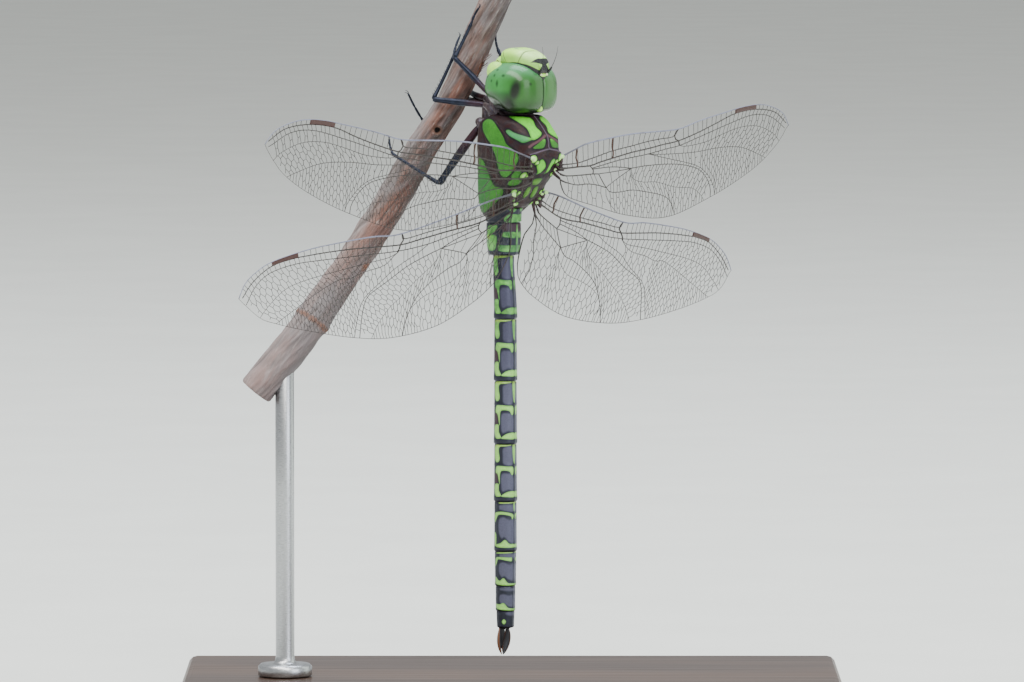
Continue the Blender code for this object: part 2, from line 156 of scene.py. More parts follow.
# ---- Frames and numbers shared with the solids ----


def box_mm(node):
    """The lowest and the highest corner of a solid, in millimetres."""
    low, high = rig.box(node)
    return np.array(low) / MM, np.array(high) / MM


def frame_matrix(at, turns, parent=None):
    """A frame at a place in millimetres, turned by angles in degrees about x, y and z, within its parent."""
    own = Matrix.Translation(at) @ Euler([math.radians(turn) for turn in turns]).to_matrix().to_4x4()
    return own if parent is None else parent @ own


WAIST_LOW, WAIST_HIGH = box_mm("abdomen_1")
WAIST_ABOVE = 0.09       # the first abdominal ring starts this far above the frame's origin
INSECT = frame_matrix(
    ((WAIST_LOW[0] + WAIST_HIGH[0]) / 2, (WAIST_LOW[1] + WAIST_HIGH[1]) / 2, WAIST_HIGH[2] - WAIST_ABOVE),
    (90, 0, 51),
)
HEAD = frame_matrix((0.0, 15.95, 2.65), (0, 2, 0), INSECT)


def placed(points, into):
    """Points in millimetres of a frame, as metres in the world."""
    turn = np.array(into.to_3x3())
    return (points @ turn.T + np.array(into.translation)) * MM


# ---- Curves and outlines ----


def catmull(points, per=6, closed=False):
    """A smooth curve through the points: the Catmull-Rom cubic, each span cut into `per` steps."""
    knots = np.asarray(points, float)
    if closed:
        around = np.concatenate((knots[-1:], knots, knots[:2]))
    else:
        around = np.concatenate((2 * knots[:1] - knots[1:2], knots, 2 * knots[-1:] - knots[-2:-1]))
    step = (np.arange(per) / per)[None, :, None]
    before, start, end, after = [around[i:len(around) - 3 + i, None, :] for i in range(4)]
    curve = start + 0.5 * step * (
        end - before
        + step * (2 * before - 5 * start + 4 * end - after)
        + step ** 2 * (3 * start - before - 3 * end + after)
    )
    curve = curve.reshape(-1, knots.shape[1])
    return curve if closed else np.concatenate((curve, knots[-1:]))


def resampled(curve, count):
    """`count` points at even steps of length along a curve."""
    reach = np.concatenate(([0.0], np.cumsum(np.linalg.norm(np.diff(curve, axis=0), axis=1))))
    at = np.linspace(0.0, reach[-1], count)
    return np.stack([np.interp(at, reach, column) for column in curve.T], axis=-1)


def eased(at, knots, values):
    """Values at places along a line, on a cubic that passes through each knot with an even slope."""
    knots = np.asarray(knots, float)
    values = np.asarray(values, float)
    slopes = np.gradient(values, knots)
    index = np.clip(np.searchsorted(knots, at, side="right") - 1, 0, len(knots) - 2)
    width = knots[index + 1] - knots[index]
    share = np.clip((at - knots[index]) / width, 0.0, 1.0)
    rise = share ** 2 * (3 - 2 * share)
    return (
        values[index] * (1 - rise) + values[index + 1] * rise
        + width * slopes[index] * share * (1 - share) ** 2
        - width * slopes[index + 1] * share ** 2 * (1 - share)
    )


def bell(value, centre, width):
    """A smooth bump of height one: exp of minus the squared distance over the width."""
    return np.exp(-((value - centre) / width) ** 2)


def step_up(value, start, end):
    """From 0 to 1 between start and end, with an even slope."""
    share = np.clip((value - start) / (end - start), 0.0, 1.0)
    return share * share * (3 - 2 * share)


MARK_STEPS = 4           # steps from point to point of an outline or a line on the skin


def line_gap(x, y, line):
    """The distance in millimetres from each place to a line of straight pieces: the least over its pieces.

    A piece's nearest point is its start plus the share of its run where the place falls square on it.
    """
    nearest = np.full(x.shape, 1e9)
    for (ax, ay), (bx, by) in zip(line, line[1:]):
        run_x, run_y = bx - ax, by - ay
        share = ((x - ax) * run_x + (y - ay) * run_y) / (run_x ** 2 + run_y ** 2 + 1e-12)
        share = np.clip(share, 0.0, 1.0)
        nearest = np.minimum(nearest, np.hypot(x - ax - share * run_x, y - ay - share * run_y))
    return nearest


def outline_depth(x, y, outline):
    """How far each place lies inside a smooth closed outline, in millimetres, and less than 0 outside it.

    A place is inside when a line from it to the right crosses the outline an odd number of times.
    """
    corners = catmull(outline, MARK_STEPS, closed=True)
    ring = np.concatenate((corners, corners[:1]))
    within = np.zeros(x.shape, bool)
    for (ax, ay), (bx, by) in zip(ring, ring[1:]):
        if ay != by:
            within ^= ((ay > y) != (by > y)) & (x < (bx - ax) * (y - ay) / (by - ay) + ax)
    nearest = line_gap(x, y, ring)
    return np.where(within, nearest, -nearest)


def deepest(x, y, outlines):
    """The depth inside whichever outline holds each place best."""
    return np.max([outline_depth(x, y, outline) for outline in outlines], axis=0)


# ---- Forms: vertices, four-sided and three-sided faces, and a value for each vertex under each name ----


def grid_form(points, wrap=False, start_cap=False, end_cap=False, flip=False, **values):
    """A surface from a grid of points, rows by columns: closed round each row and capped by fans if asked."""
    rows, columns = points.shape[:2]
    index = np.arange(rows * columns).reshape(rows, columns)
    here = index if wrap else index[:, :-1]
    beside = np.roll(index, -1, axis=1) if wrap else index[:, 1:]
    quads = np.stack((here[:-1], beside[:-1], beside[1:], here[1:]), axis=-1).reshape(-1, 4)
    vertices = [points.reshape(-1, 3)]
    values = {name: np.broadcast_to(value, (rows, columns)) for name, value in values.items()}
    kept = {name: [value.reshape(-1)] for name, value in values.items()}
    fans = []
    for row, wanted, turned in ((0, start_cap, True), (rows - 1, end_cap, False)):
        if wanted:
            centre = rows * columns + len(fans)
            ring = (here[row], beside[row])
            first, second = ring[::-1] if turned else ring
            fans.append(np.stack((first, second, np.full(first.shape, centre)), axis=-1))
            vertices.append(points[row].mean(axis=0)[None])
            for name, value in values.items():
                kept[name].append(value[row].mean()[None])
    triangles = np.concatenate(fans) if fans else np.zeros((0, 3), int)
    if flip:
        quads = quads[:, ::-1]
        triangles = triangles[:, ::-1]
    kept = {name: np.concatenate(parts) for name, parts in kept.items()}
    return np.concatenate(vertices), quads, triangles, kept


def joined(forms):
    """Several forms as one. A value that a form lacks is 0 on it."""
    names = sorted({name for form in forms for name in form[3]})
    offsets = np.cumsum([0] + [len(form[0]) for form in forms])
    values = {
        name: np.concatenate([form[3].get(name, np.zeros(len(form[0]))) for form in forms]) for name in names
    }
    return (
        np.concatenate([form[0] for form in forms]),
        np.concatenate([form[1] + offset for form, offset in zip(forms, offsets)]),
        np.concatenate([form[2] + offset for form, offset in zip(forms, offsets)]),
        values,
    )


def moved(form, into):
    """A form taken from a frame in millimetres to the world in metres."""
    return placed(form[0], into), form[1], form[2], form[3]


def mirrored(form):
    """A form's mirror image across x = 0, with its faces turned back outwards."""
    return form[0] * (-1, 1, 1), form[1][:, ::-1], form[2][:, ::-1], form[3]


def unit(directions):
    """The same directions with length one."""
    return directions / np.linalg.norm(directions, axis=-1, keepdims=True)


def across(path, towards):
    """Two unit directions square to a path at each of its points, the second one nearest to `towards`."""
    along = unit(np.gradient(path, axis=0))
    side = unit(np.cross(along, towards))
    return side, np.cross(side, along)


def spokes(side, over, turn, flat=1.0):
    """Directions round a path at some angles t: cos t * side + flat * sin t * over."""
    return np.cos(turn)[None, :, None] * side[:, None] + flat * np.sin(turn)[None, :, None] * over[:, None]


def tube_form(path, radii, sides=8, towards=(0.0, 0.0, 1.0), flat=1.0, **values):
    """A closed bar along a path: at each point a ring of its radius, `flat` times as high as it is wide."""
    side, over = across(path, np.asarray(towards, float))
    turn = np.arange(sides) * 2 * np.pi / sides
    radii = np.broadcast_to(radii, len(path))[:, None, None]
    points = path[:, None] + radii * spokes(side, over, turn, flat)
    spread = {name: np.broadcast_to(value, len(path))[:, None] for name, value in values.items()}
    return grid_form(points, True, True, True, flip=True, **spread)


def ball_form(centre, radii, power=2.0, rows=16, columns=24, **values):
    """A closed egg: a point on a ball, each part of it raised to 2 / power, stretched to three radii."""
    polar = (np.arange(rows) + 0.5)[:, None] * np.pi / rows
    turn = np.arange(columns)[None] * 2 * np.pi / columns
    parts = (np.sin(polar) * np.cos(turn), np.sin(polar) * np.sin(turn), np.cos(polar) + 0 * turn)
    shape = np.stack([np.sign(part) * np.abs(part) ** (2 / power) for part in parts], axis=-1)
    return grid_form(np.asarray(centre) + shape * np.asarray(radii), True, True, True, flip=True, **values)


def make_piece(name, form, nodes, slot, *materials):
    """A mesh object from a form in metres, which rides on the body and stands for the named solids."""
    vertices, quads, triangles, values = form
    mesh = bpy.data.meshes.new(name)
    mesh.vertices.add(len(vertices))
    mesh.vertices.foreach_set("co", vertices.astype(np.float32).ravel())
    sizes = np.concatenate((np.full(len(quads), 4), np.full(len(triangles), 3)))
    corners = np.concatenate((quads.ravel(), triangles.ravel()))
    mesh.loops.add(len(corners))
    mesh.loops.foreach_set("vertex_index", corners.astype(np.int32))
    mesh.polygons.add(len(sizes))
    mesh.polygons.foreach_set("loop_start", (np.cumsum(sizes) - sizes).astype(np.int32))
    mesh.update(calc_edges=True)
    for label, value in values.items():
        if label == "finish":
            starts = np.cumsum(sizes) - sizes
            mesh.polygons.foreach_set("material_index", value[corners[starts]].astype(np.int32))
        else:
            layer = mesh.attributes.new(label, "FLOAT", "POINT")
            layer.data.foreach_set("value", value.astype(np.float32))
    mesh.shade_smooth()
    for material in materials:
        mesh.materials.append(material)
    piece = bpy.data.objects.new(name, mesh)
    bpy.context.scene.collection.objects.link(piece)
    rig.ride(piece, "root")
    if nodes:
        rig.replaces(piece, *nodes)
    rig.slot(piece, slot)
    return piece


# ---- Materials ----


def linear(colour):
    """An sRGB hex colour as linear red, green, blue and alpha."""
    parts = [(colour >> shift & 255) / 255.0 for shift in (16, 8, 0)]
    straight = [part / 12.92 if part <= 0.04045 else ((part + 0.055) / 1.055) ** 2.4 for part in parts]
    return (*straight, 1.0)


def put(tree, socket, value):
    """Gives an input its value, or links it to another node's output."""
    if isinstance(value, bpy.types.NodeSocket):
        tree.links.new(value, socket)
    else:
        socket.default_value = value


def add(tree, kind, inputs=None, output=0, **settings):
    """A shader node with its settings, and its inputs set or linked. Returns one of its outputs."""
    made = tree.nodes.new("ShaderNode" + kind)
    for name, value in settings.items():
        setattr(made, name, value)
    for name, value in (inputs or {}).items():
        put(tree, made.inputs[name], value)
    return made.outputs[output]


# Octaves, roughness, stretch along x, y and z, and turn about y in degrees.
NOISE = (3.0, 0.55, (1, 1, 1), 0.0)
NOISE_SPREAD = (0.3, 0.7)      # between these lies nearly all of what a noise gives


def followed(tree, pattern):
    """The value that a layer or a relief follows, as a socket.

    A word names a value that the mesh carries. A number is noise in object space with blotches of that width
    in millimetres, and a tuple gives its width and then as much of NOISE as differs. ("cells", width) gives
    round cells.
    """
    if isinstance(pattern, str):
        return add(tree, "Attribute", output="Fac", attribute_name=pattern)
    where = add(tree, "TexCoord", output="Object")
    width, *rest = pattern if isinstance(pattern, tuple) else (pattern,)
    if width == "cells":
        return add(tree, "TexVoronoi", {"Vector": where, "Scale": 1 / (rest[0] * MM)})
    octaves, roughness, stretch, turn = (*rest, *NOISE[len(rest):])
    laid = add(tree, "Mapping", {
        "Vector": where,
        "Rotation": (0.0, math.radians(turn), 0.0),
        "Scale": [width * MM * part for part in stretch],
    }, vector_type="TEXTURE")
    return add(tree, "TexNoise", {"Vector": laid, "Scale": 1.0, "Detail": octaves, "Roughness": roughness})


def painted(tree, paint):
    """A paint as a colour: an sRGB hex value, a setting's colour, or a list of a ground and layers over it.

    A layer is (pattern, start, end, share, paint). It covers what lies below it by up to that share, rising
    smoothly as its pattern goes from start to end.
    """
    if isinstance(paint, int):
        return linear(paint)
    if not isinstance(paint, list):
        return tuple(paint)
    colour = painted(tree, paint[0])
    for pattern, start, end, share, tint in paint[1:]:
        cover = add(tree, "MapRange", {
            "Value": followed(tree, pattern),
            "From Min": start,
            "From Max": end,
            "To Min": 0.0,
            "To Max": share,
        }, interpolation_type="SMOOTHSTEP")
        colour = add(tree, "Mix", {0: cover, 6: colour, 7: painted(tree, tint)}, 2, data_type="RGBA")
    return colour


def make_material(name, paint, relief=(), dullness=None, **surface):
    """A Principled material with its paint, its relief and its other sockets' values.

    The relief is bumps of (pattern, depth in millimetres), one on another. Dullness is a pattern with the
    roughness where it is low and where it is high.
    """
    material = bpy.data.materials.new(name)
    material.use_nodes = True
    tree = material.node_tree
    shader = tree.nodes["Principled BSDF"]
    for socket, value in surface.items():
        shader.inputs[socket.replace("_", " ")].default_value = value
    put(tree, shader.inputs["Base Color"], painted(tree, paint))
    if dullness:
        pattern, low, high = dullness
        put(tree, shader.inputs["Roughness"], add(tree, "MapRange", {
            "Value": followed(tree, pattern),
            "From Min": NOISE_SPREAD[0],
            "From Max": NOISE_SPREAD[1],
            "To Min": low,
            "To Max": high,
        }))
    below = {}
    for pattern, depth in relief:
        height = {"Height": followed(tree, pattern), "Distance": depth * MM, "Strength": 1.0}
        below = {"Normal": add(tree, "Bump", {**height, **below})}
        put(tree, shader.inputs["Normal"], below["Normal"])
    return material


# ---- Settings ----


def colour_setting(name, description, colour):
    """A colour that the user can change, given in sRGB hex."""
    return FloatVectorProperty(
        name=name, description=description, subtype="COLOR", size=4, min=0.0, max=1.0, default=linear(colour)
    )


def length_setting(name, description, millimetres):
    """A length that the user can change."""
    return FloatProperty(
        name=name, description=description, unit="LENGTH", default=millimetres * MM, min=0.0, precision=5
    )


class DarnerColours(bpy.types.PropertyGroup):
    """Colours of the insect's skin"""
    eye_green: colour_setting("Eye", "Upper part of the eyes", 0x24551A)
    eye_teal: colour_setting("Lower eye", "Side and lower part of the eyes", 0x38833F)
    face: colour_setting("Face", "Forehead and lip", 0xCFFB9E)
    mark: colour_setting("Markings", "Bright green markings of thorax and abdomen", 0x2F6E20)
    brown: colour_setting("Thorax ground", "Maroon-brown ground of the thorax", 0x2A1114)
    black: colour_setting("Black", "Black cuticle of abdomen and legs", 0x0C0D13)
    slate: colour_setting("Slate", "Dull violet-grey fields of the abdomen", 0x3A3848)
    rust: colour_setting("Rust", "Red-brown flanks of the abdomen and hips", 0x331918)


class DarnerWings(bpy.types.PropertyGroup):
    """Wings"""
    membrane: colour_setting("Membrane", "Clear membrane between the veins", 0x54554A)
    clearness: FloatProperty(
        name="Opacity", description="Opacity of the membrane", default=0.02, min=0.0, max=1.0
    )
    vein: colour_setting("Veins", "Veins", 0x2C2624)
    costa: colour_setting("Leading edge", "Bloom along the leading edges", 0x777A8E)
    stigma: colour_setting("Wing spot", "Red-brown cell near each wing tip", 0x381914)
    main_vein: length_setting("Main veins", "Thickness of the main veins", 0.13)
    cross_vein: length_setting("Cross-veins", "Thickness of the finest veins", 0.082)


class DarnerPerch(bpy.types.PropertyGroup):
    """Perch and stand"""
    bark: colour_setting("Bark", "Grey-brown bark", 0x6A6567)
    bark_red: colour_setting("Inner bark", "Reddish bark where the outer layer has gone", 0x7C5548)
    bark_pale: colour_setting("Pale bark", "Weathered grey patches", 0x9A9290)
    core: colour_setting("Cut wood", "Sawn ends of the perch", 0xC9AE84)
    base_wood: colour_setting("Base", "Stained wood of the stand", 0x3A281E)
    roughness: length_setting("Bark relief", "Height of the bark's ridges", 0.16)


class DarnerStage(bpy.types.PropertyGroup):
    """Stage"""
    floor: colour_setting("Floor", "Plain floor", 0xE4E6E0)
    distance: length_setting("Camera distance", "From the camera to the middle of the view", 1200.0)
    elevation: FloatProperty(
        name="Camera height", description="Angle of the view below level", subtype="ANGLE",
        default=math.radians(4),
    )


# ---- Stage, perch and stand ----

VIEW_MIDDLE = Vector((0.0, 0.0, 51.4)) * MM
LENS_MM = 320.2
FLOOR_REACH_M = 14.0
WORLD_COLOUR, WORLD_STRENGTH = 0xEEF1F2, 0.66
SOFT_BOXES = (           # name, place and size in metres, watts, colour, turn about its own axis in degrees
    ("key_box", (-0.2, -0.7, 1.1), (1.8, 0.5), 31.0, 0xFFFCF6, -36.0),
    ("top_box", (0.1, 0.25, 1.1), (0.8, 0.6), 12.0, 0xEAF2FF, 0.0),
    ("fill_box", (0.8, -0.8, 0.35), (0.6, 0.6), 5.5, 0xF2F6FF, 0.0),
    ("side_box", (0.8, 0.25, 0.4), (0.5, 0.9), 2.2, 0xEEF8EC, 0.0),
)


def soft_box(name, place, size, power, colour, roll):
    """An area light that points at the insect, turned about its own axis."""
    light = bpy.data.lights.new(name, "AREA")
    light.shape = "RECTANGLE"
    light.size, light.size_y = size
    light.energy = power
    light.color = linear(colour)[:3]
    lamp = bpy.data.objects.new(name, light)
    lamp.location = place
    aim = (VIEW_MIDDLE - Vector(place)).to_track_quat("-Z", "Y")
    lamp.rotation_euler = (aim @ Quaternion((0, 0, 1), math.radians(roll))).to_euler()
    bpy.context.scene.collection.objects.link(lamp)


class DARNER_OT_stage(bpy.types.Operator):
    """Lays the floor, and sets the soft boxes and the camera round the model"""
    bl_idname = "darner.stage"
    bl_label = "Stage"

    def execute(self, context):
        settings = context.scene.darner_stage
        ticks = np.linspace(-FLOOR_REACH_M, FLOOR_REACH_M, 9) / MM
        deep, wide = np.meshgrid(ticks, ticks, indexing="ij")
        form = grid_form(np.stack((wide, deep, 0 * wide), axis=-1))
        # Seamless background paper: matt, with a barely seen unevenness from its fibres.
        paper = make_material(
            "matt_paper_floor", [settings.floor, (30.0, 0.3, 0.7, 0.05, 0x808080)], Roughness=0.9,
            Specular_IOR_Level=0.2,
        )
        mesh = bpy.data.meshes.new("floor")
        mesh.from_pydata((form[0] * MM).tolist(), [], form[1].tolist())
        mesh.materials.append(paper)
        floor = bpy.data.objects.new("floor", mesh)
        context.scene.collection.objects.link(floor)
        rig.stage(floor)

        world = bpy.data.worlds.new("soft_studio")
        world.use_nodes = True
        background = world.node_tree.nodes["Background"]
        background.inputs["Color"].default_value = linear(WORLD_COLOUR)
        background.inputs["Strength"].default_value = WORLD_STRENGTH
        context.scene.world = world
        for box in SOFT_BOXES:
            soft_box(*box)

        camera = bpy.data.objects.new("camera", bpy.data.cameras.new("camera"))
        camera.data.lens = LENS_MM
        camera.data.sensor_width = 36.0
        camera.data.clip_start = 0.05
        camera.data.clip_end = 60.0
        camera.data.dof.use_dof = False
        away = Vector((0.0, -math.cos(settings.elevation), math.sin(settings.elevation)))
        camera.location = VIEW_MIDDLE + away * settings.distance
        camera.rotation_euler = (math.pi / 2 - settings.elevation, 0.0, 0.0)
        context.scene.collection.objects.link(camera)
        context.scene.camera = camera
        return {"FINISHED"}


PERCH_LINE = (           # x, y, z and radius along the branch, from its top end down
    (-0.4, 6.6, 99.8, 1.95), (-3.9, 7.2, 92.4, 1.95), (-7.7, 7.8, 83.5, 2.0), (-11.5, 8.2, 77.1, 2.05),
    (-15.2, 8.5, 70.6, 2.1), (-19.2, 8.8, 64.1, 2.15), (-27.6, 9.3, 52.2, 2.3), (-34.1, 9.6, 44.1, 2.35),
)
PERCH_LENGTH = 65.4
BARK_ROWS, BARK_COLUMNS = 540, 144
KNOT_AT = (0.349, 1.8)       # along the branch, from 0 to 1, and round it in radians: pi / 2 is the front
BARK_FLAP_AT = (0.21, 2.85)
RING_SCAR_AT = 53.4          # millimetres along the branch
LEAF_SCAR_AT = (43.3, 2.5)   # the same, and round it in radians
BRANCH_LEAN = 31.0           # degrees from upright
FIBRES = 16                  # shreds of bark along the flap
FIBRE_ROWS = 26              # rows of the bark over which a shred's direction is taken


def wavy(along, around, seed, long_mm, turns, count=10):
    """Even noise over a bar, from -1 to 1: a sum of waves along it and round it, with seeded phases."""
    random = np.random.default_rng(seed)
    total = np.zeros(np.broadcast(along, around).shape)
    for _ in range(count):
        pace = random.uniform(0.5, 1.5) * 2 * np.pi / long_mm
        lobes = random.integers(1, turns + 1)
        total += np.sin(pace * along + lobes * around + random.uniform(0, 2 * np.pi))
    return total / math.sqrt(count)


class DARNER_OT_perch(bpy.types.Operator):
    """Grows the bark of the branch: a bar along its line, ridged, with a knot hole, a flap and sawn ends"""
    bl_idname = "darner.perch"
    bl_label = "Perch"

    def execute(self, context):
        settings = context.scene.darner_perch
        form = bark_form(settings.roughness / MM)
        bark, core = bark_material(settings), cut_wood_material(settings)
        make_piece("branch", (form[0] * MM, *form[1:]), ["perch"], "bark", bark, core)
        return {"FINISHED"}


def bark_form(relief):
    """The bark, its two sawn ends and its shreds.

    At each place along the branch and each angle round it: reach = radius * 0.985 + relief * ridges + swell +
    knot + scars - flap, drawn in a little at the sawn ends. `relief` is the height of the ridges.
    """
    line = resampled(catmull(PERCH_LINE, 20), BARK_ROWS)
    path, radius = line[:, :3], line[:, 3:]
    side, over = across(path, np.array((0.0, -1.0, 0.0)))
    share = np.linspace(0, 1, len(path))[:, None]
    length = share * PERCH_LENGTH
    turn = np.arange(BARK_COLUMNS)[None] * 2 * np.pi / BARK_COLUMNS - np.pi
    ridges = wavy(length, turn, 3, 12.0, 12, 14) * 0.4 + wavy(length, turn, 5, 4.0, 26, 18) * 0.35
    swell = 0.12 * wavy(length, turn, 8, 30.0, 2, 5)
    from_knot = np.hypot((share - KNOT_AT[0]) * PERCH_LENGTH * 1.1, (turn - KNOT_AT[1]) * radius)
    knot = 0.16 * bell(from_knot, 0.7, 0.25) - 0.7 * bell(from_knot, 0.0, 0.45)
    flap = bark_flap(length - BARK_FLAP_AT[0] * PERCH_LENGTH, (turn - BARK_FLAP_AT[1]) * radius)
    scar = bell(length - RING_SCAR_AT + 0.5 * np.sin(turn), 0.0, 0.55) * (0.85 + 0.3 * ridges)
    from_leaf = np.hypot(length - LEAF_SCAR_AT[0], (turn - LEAF_SCAR_AT[1]) * radius)
    scar = np.maximum(scar, bell(from_leaf, 0.0, 0.8))
    reach = radius * 0.985 + relief * ridges + swell + knot - 0.3 * step_up(flap, 0.0, 0.3) + 0.14 * scar
    ends = np.minimum(share, 1 - share) * PERCH_LENGTH
    reach = reach - 0.12 * (1 - step_up(ends, 0.0, 0.25))
    points = path[:, None] + reach[..., None] * spokes(side, over, turn[0])
    # flank is 1 on the side of the branch where light is painted and -1 where shade is painted.
    forms = [grid_form(
        points, wrap=True, flip=True, ridge=ridges, hole=0.46 - from_knot, lip=0.8 - from_knot,
        bared=flap, flank=np.cos(turn), worn=step_up(np.abs(share - 0.3), 0.12, 0.6), scar=scar, finish=0,
    )]
    for row, last in ((0, False), (-1, True)):
        inwards = np.linspace(1, 0.02, 40)[:, None]
        disc = path[row] + (points[row][None] - path[row]) * inwards[..., None]
        growth = np.sin(45.0 * inwards)
        forms.append(grid_form(disc, True, False, True, flip=last, growth=growth, finish=1))
    forms.append(bark_fibres(path, radius, side, over))
    return joined(forms)


def bark_flap(along, around):
    """The depth inside the torn patch of bark: a slanted oval with a ragged rim."""
    rim = 0.3 * np.sin(along * 4.1) + 0.15 * np.sin(along * 9.7 + 2.0)
    return 1.0 - np.hypot(along / 1.7, (around - 0.15 * along) / 0.8) + 0.3 * rim


def bark_fibres(path, radius, side, over):
    """Shreds of bark along the torn patch: thin bars that leave the branch and lean up its side."""
    chance = np.random.default_rng(12)
    row = ((BARK_FLAP_AT[0] + chance.uniform(-0.03, 0.025, FIBRES)) * (len(path) - 1)).astype(int)
    turn = BARK_FLAP_AT[1] + chance.uniform(-0.5, 0.5, FIBRES)
    away = np.cos(turn)[:, None] * side[row] + np.sin(turn)[:, None] * over[row]
    upwards = unit(path[row - FIBRE_ROWS] - path[row])
    length = chance.uniform(0.6, 1.7, FIBRES)[:, None]
    start = path[row] + away * radius[row] * 0.9
    end = start + (upwards * 0.85 + away * 0.5) * length
    return bars_form(start, end, 0.04, bared=-1.0, worn=1.0, hole=-1.0, lip=-1.0, finish=0)


def bark_material(settings):
    """Dead bark, weathered: fine grey-brown fibres along it, redder where the outer layer has gone."""
    grain = ((1, 1, 9), BRANCH_LEAN)
    return make_material("weathered_bark", [
        settings.bark,
        ((3.2, 4.0, 0.6, (1, 1, 4), BRANCH_LEAN), 0.4, 0.6, 0.95, settings.bark_red),
        ((2.0, 5.0, 0.65, (1, 1, 5), BRANCH_LEAN), 0.5, 0.68, 0.8, settings.bark_pale),
        # Painted light and shade: paler on the left side of the branch, darker on its right side.
        ("flank", 0.1, 0.9, 0.4, settings.bark_pale),
        ("flank", 0.6, -0.7, 0.5, 0x40363A),
        # Painted shade: darker in the grooves between the ridges.
        ("ridge", 0.4, -0.9, 0.7, 0x3A2E2A),
        ((0.3, 4.0, 0.7, *grain), 0.52, 0.34, 0.45, 0x3E3230),
        ((0.22, 4.0, 0.7, *grain), 0.55, 0.72, 0.36, 0xB9B0AC),
        # Paler towards both ends of the branch, darker round the middle.
        ("worn", 0.0, 1.0, 0.35, 0x9A9496),
        ("scar", 0.3, 0.85, 0.75, 0x755040),
        ("bared", -0.1, 0.5, 0.9, 0x7A4632),
        ("lip", -0.1, 0.35, 0.7, 0x6C4E40),
        # Painted shade: the shallow knot hole nearly black inside.
        ("hole", -0.05, 0.12, 1.0, 0x120D0C),
    ], [
        ((0.3, 5.0, 0.7, *grain), 0.14),
        ((1.1, 4.0, 0.6, (1, 1, 4), BRANCH_LEAN), 0.2),
    ], Roughness=0.86, Specular_IOR_Level=0.2)


def cut_wood_material(settings):
    """Sawn end grain: pale, dull, with growth rings darkening outwards and fine saw scratches."""
    return make_material(
        "sawn_end_grain", [settings.core, ("growth", -1.0, 1.0, 0.55, 0x8F6B45)], [(0.2, 0.05)],
        Roughness=0.8, Specular_IOR_Level=0.25,
    )


class DARNER_OT_stand(bpy.types.Operator):
    """Gives the plate its stained wood, and turns the steel rod that carries the branch"""
    bl_idname = "darner.stand"
    bl_label = "Stand"

    def execute(self, context):
        settings = context.scene.darner_perch
        # Stained and oiled hardwood: straight grain a few tenths of a millimetre wide, a soft satin sheen.
        grain = (1.4, 6.0, 0.65, (22, 1, 1))
        wood = make_material("stained_walnut", [
            settings.base_wood,
            (grain, 0.5, 0.3, 0.5, 0x1C120C),
            ((9.0, 2.0, 0.5, (8, 1, 1)), 0.4, 0.7, 0.5, 0x58402F),
        ], [(grain, 0.03)], (grain, 0.48, 0.36), Specular_IOR_Level=0.4, Coat_Weight=0.2)
        for place in frame["nodes"]["stand_base"].material_slots:
            place.material = wood
        # Satin stainless steel: turned bright, then brushed round the rod, with fine scratches across it.
        scratches = (0.12, 3.0, 0.6, (4, 4, 0.6))
        steel = make_material(
            "satin_stainless_steel", [0xA9ABAE, (scratches, 0.3, 0.7, 1.0, 0xC4C6C8)], [(scratches, 0.01)],
            (scratches, 0.26, 0.4), Metallic=1.0,
        )
        make_piece("display_rod", rod_form(), ["stand_rod"], "rod_steel", steel)
        return {"FINISHED"}


ROD_PROFILE = (          # radius and height above the plate, from the collar's foot to the end in the branch
    (3.45, 0.0), (3.6, 0.12), (3.6, 1.25), (3.25, 1.6), (1.9, 1.6), (1.55, 1.7), (1.32, 2.05), (1.25, 2.6),
    (1.25, 12.0), (1.25, 24.0), (1.25, 40.6), (1.1, 40.8),
)


def rod_form():
    """The rod as its profile turned about its axis: (radius * cos t, radius * sin t, height)."""
    low, high = box_mm("stand_rod")
    radius, height = [column[:, None] for column in np.array(ROD_PROFILE).T]
    turn = np.arange(64)[None] * 2 * np.pi / 64
    middle = (low + high) / 2
    points = np.stack((
        middle[0] + radius * np.cos(turn), middle[1] + radius * np.sin(turn), low[2] + height + 0 * turn,
    ), axis=-1)
    vertices, *faces = grid_form(points, wrap=True, start_cap=True, end_cap=True)
    return vertices * MM, *faces


# ---- Abdomen ----

SEGMENT_ENDS = (0.15, -1.85, -6.2, -14.6, -22.8, -31.1, -38.7, -45.3, -49.9, -53.2, -55.6)
ABDOMEN_RADII = (
    (-55.6, 1.12), (-53.2, 1.3), (-49.9, 1.4), (-45.3, 1.52), (-38.7, 1.56), (-14.6, 1.56), (-11.0, 1.53),
    (-9.0, 1.49), (-7.5, 1.46), (-6.25, 1.47), (-6.15, 1.98), (-5.6, 2.14), (-4.9, 2.28), (-4.2, 2.36),
    (-3.4, 2.4), (-2.6, 2.4), (-1.85, 2.38), (-0.8, 2.46), (0.15, 2.5),
)
ABDOMEN_DEPTH = 0.95
ABDOMEN_ROWS, ABDOMEN_COLUMNS = 720, 96
MARKS_RADIUS = 1.55      # turns an angle round the abdomen into millimetres for its marks
UNMARKED = -9.0          # the depth where a ring has no mark of a kind
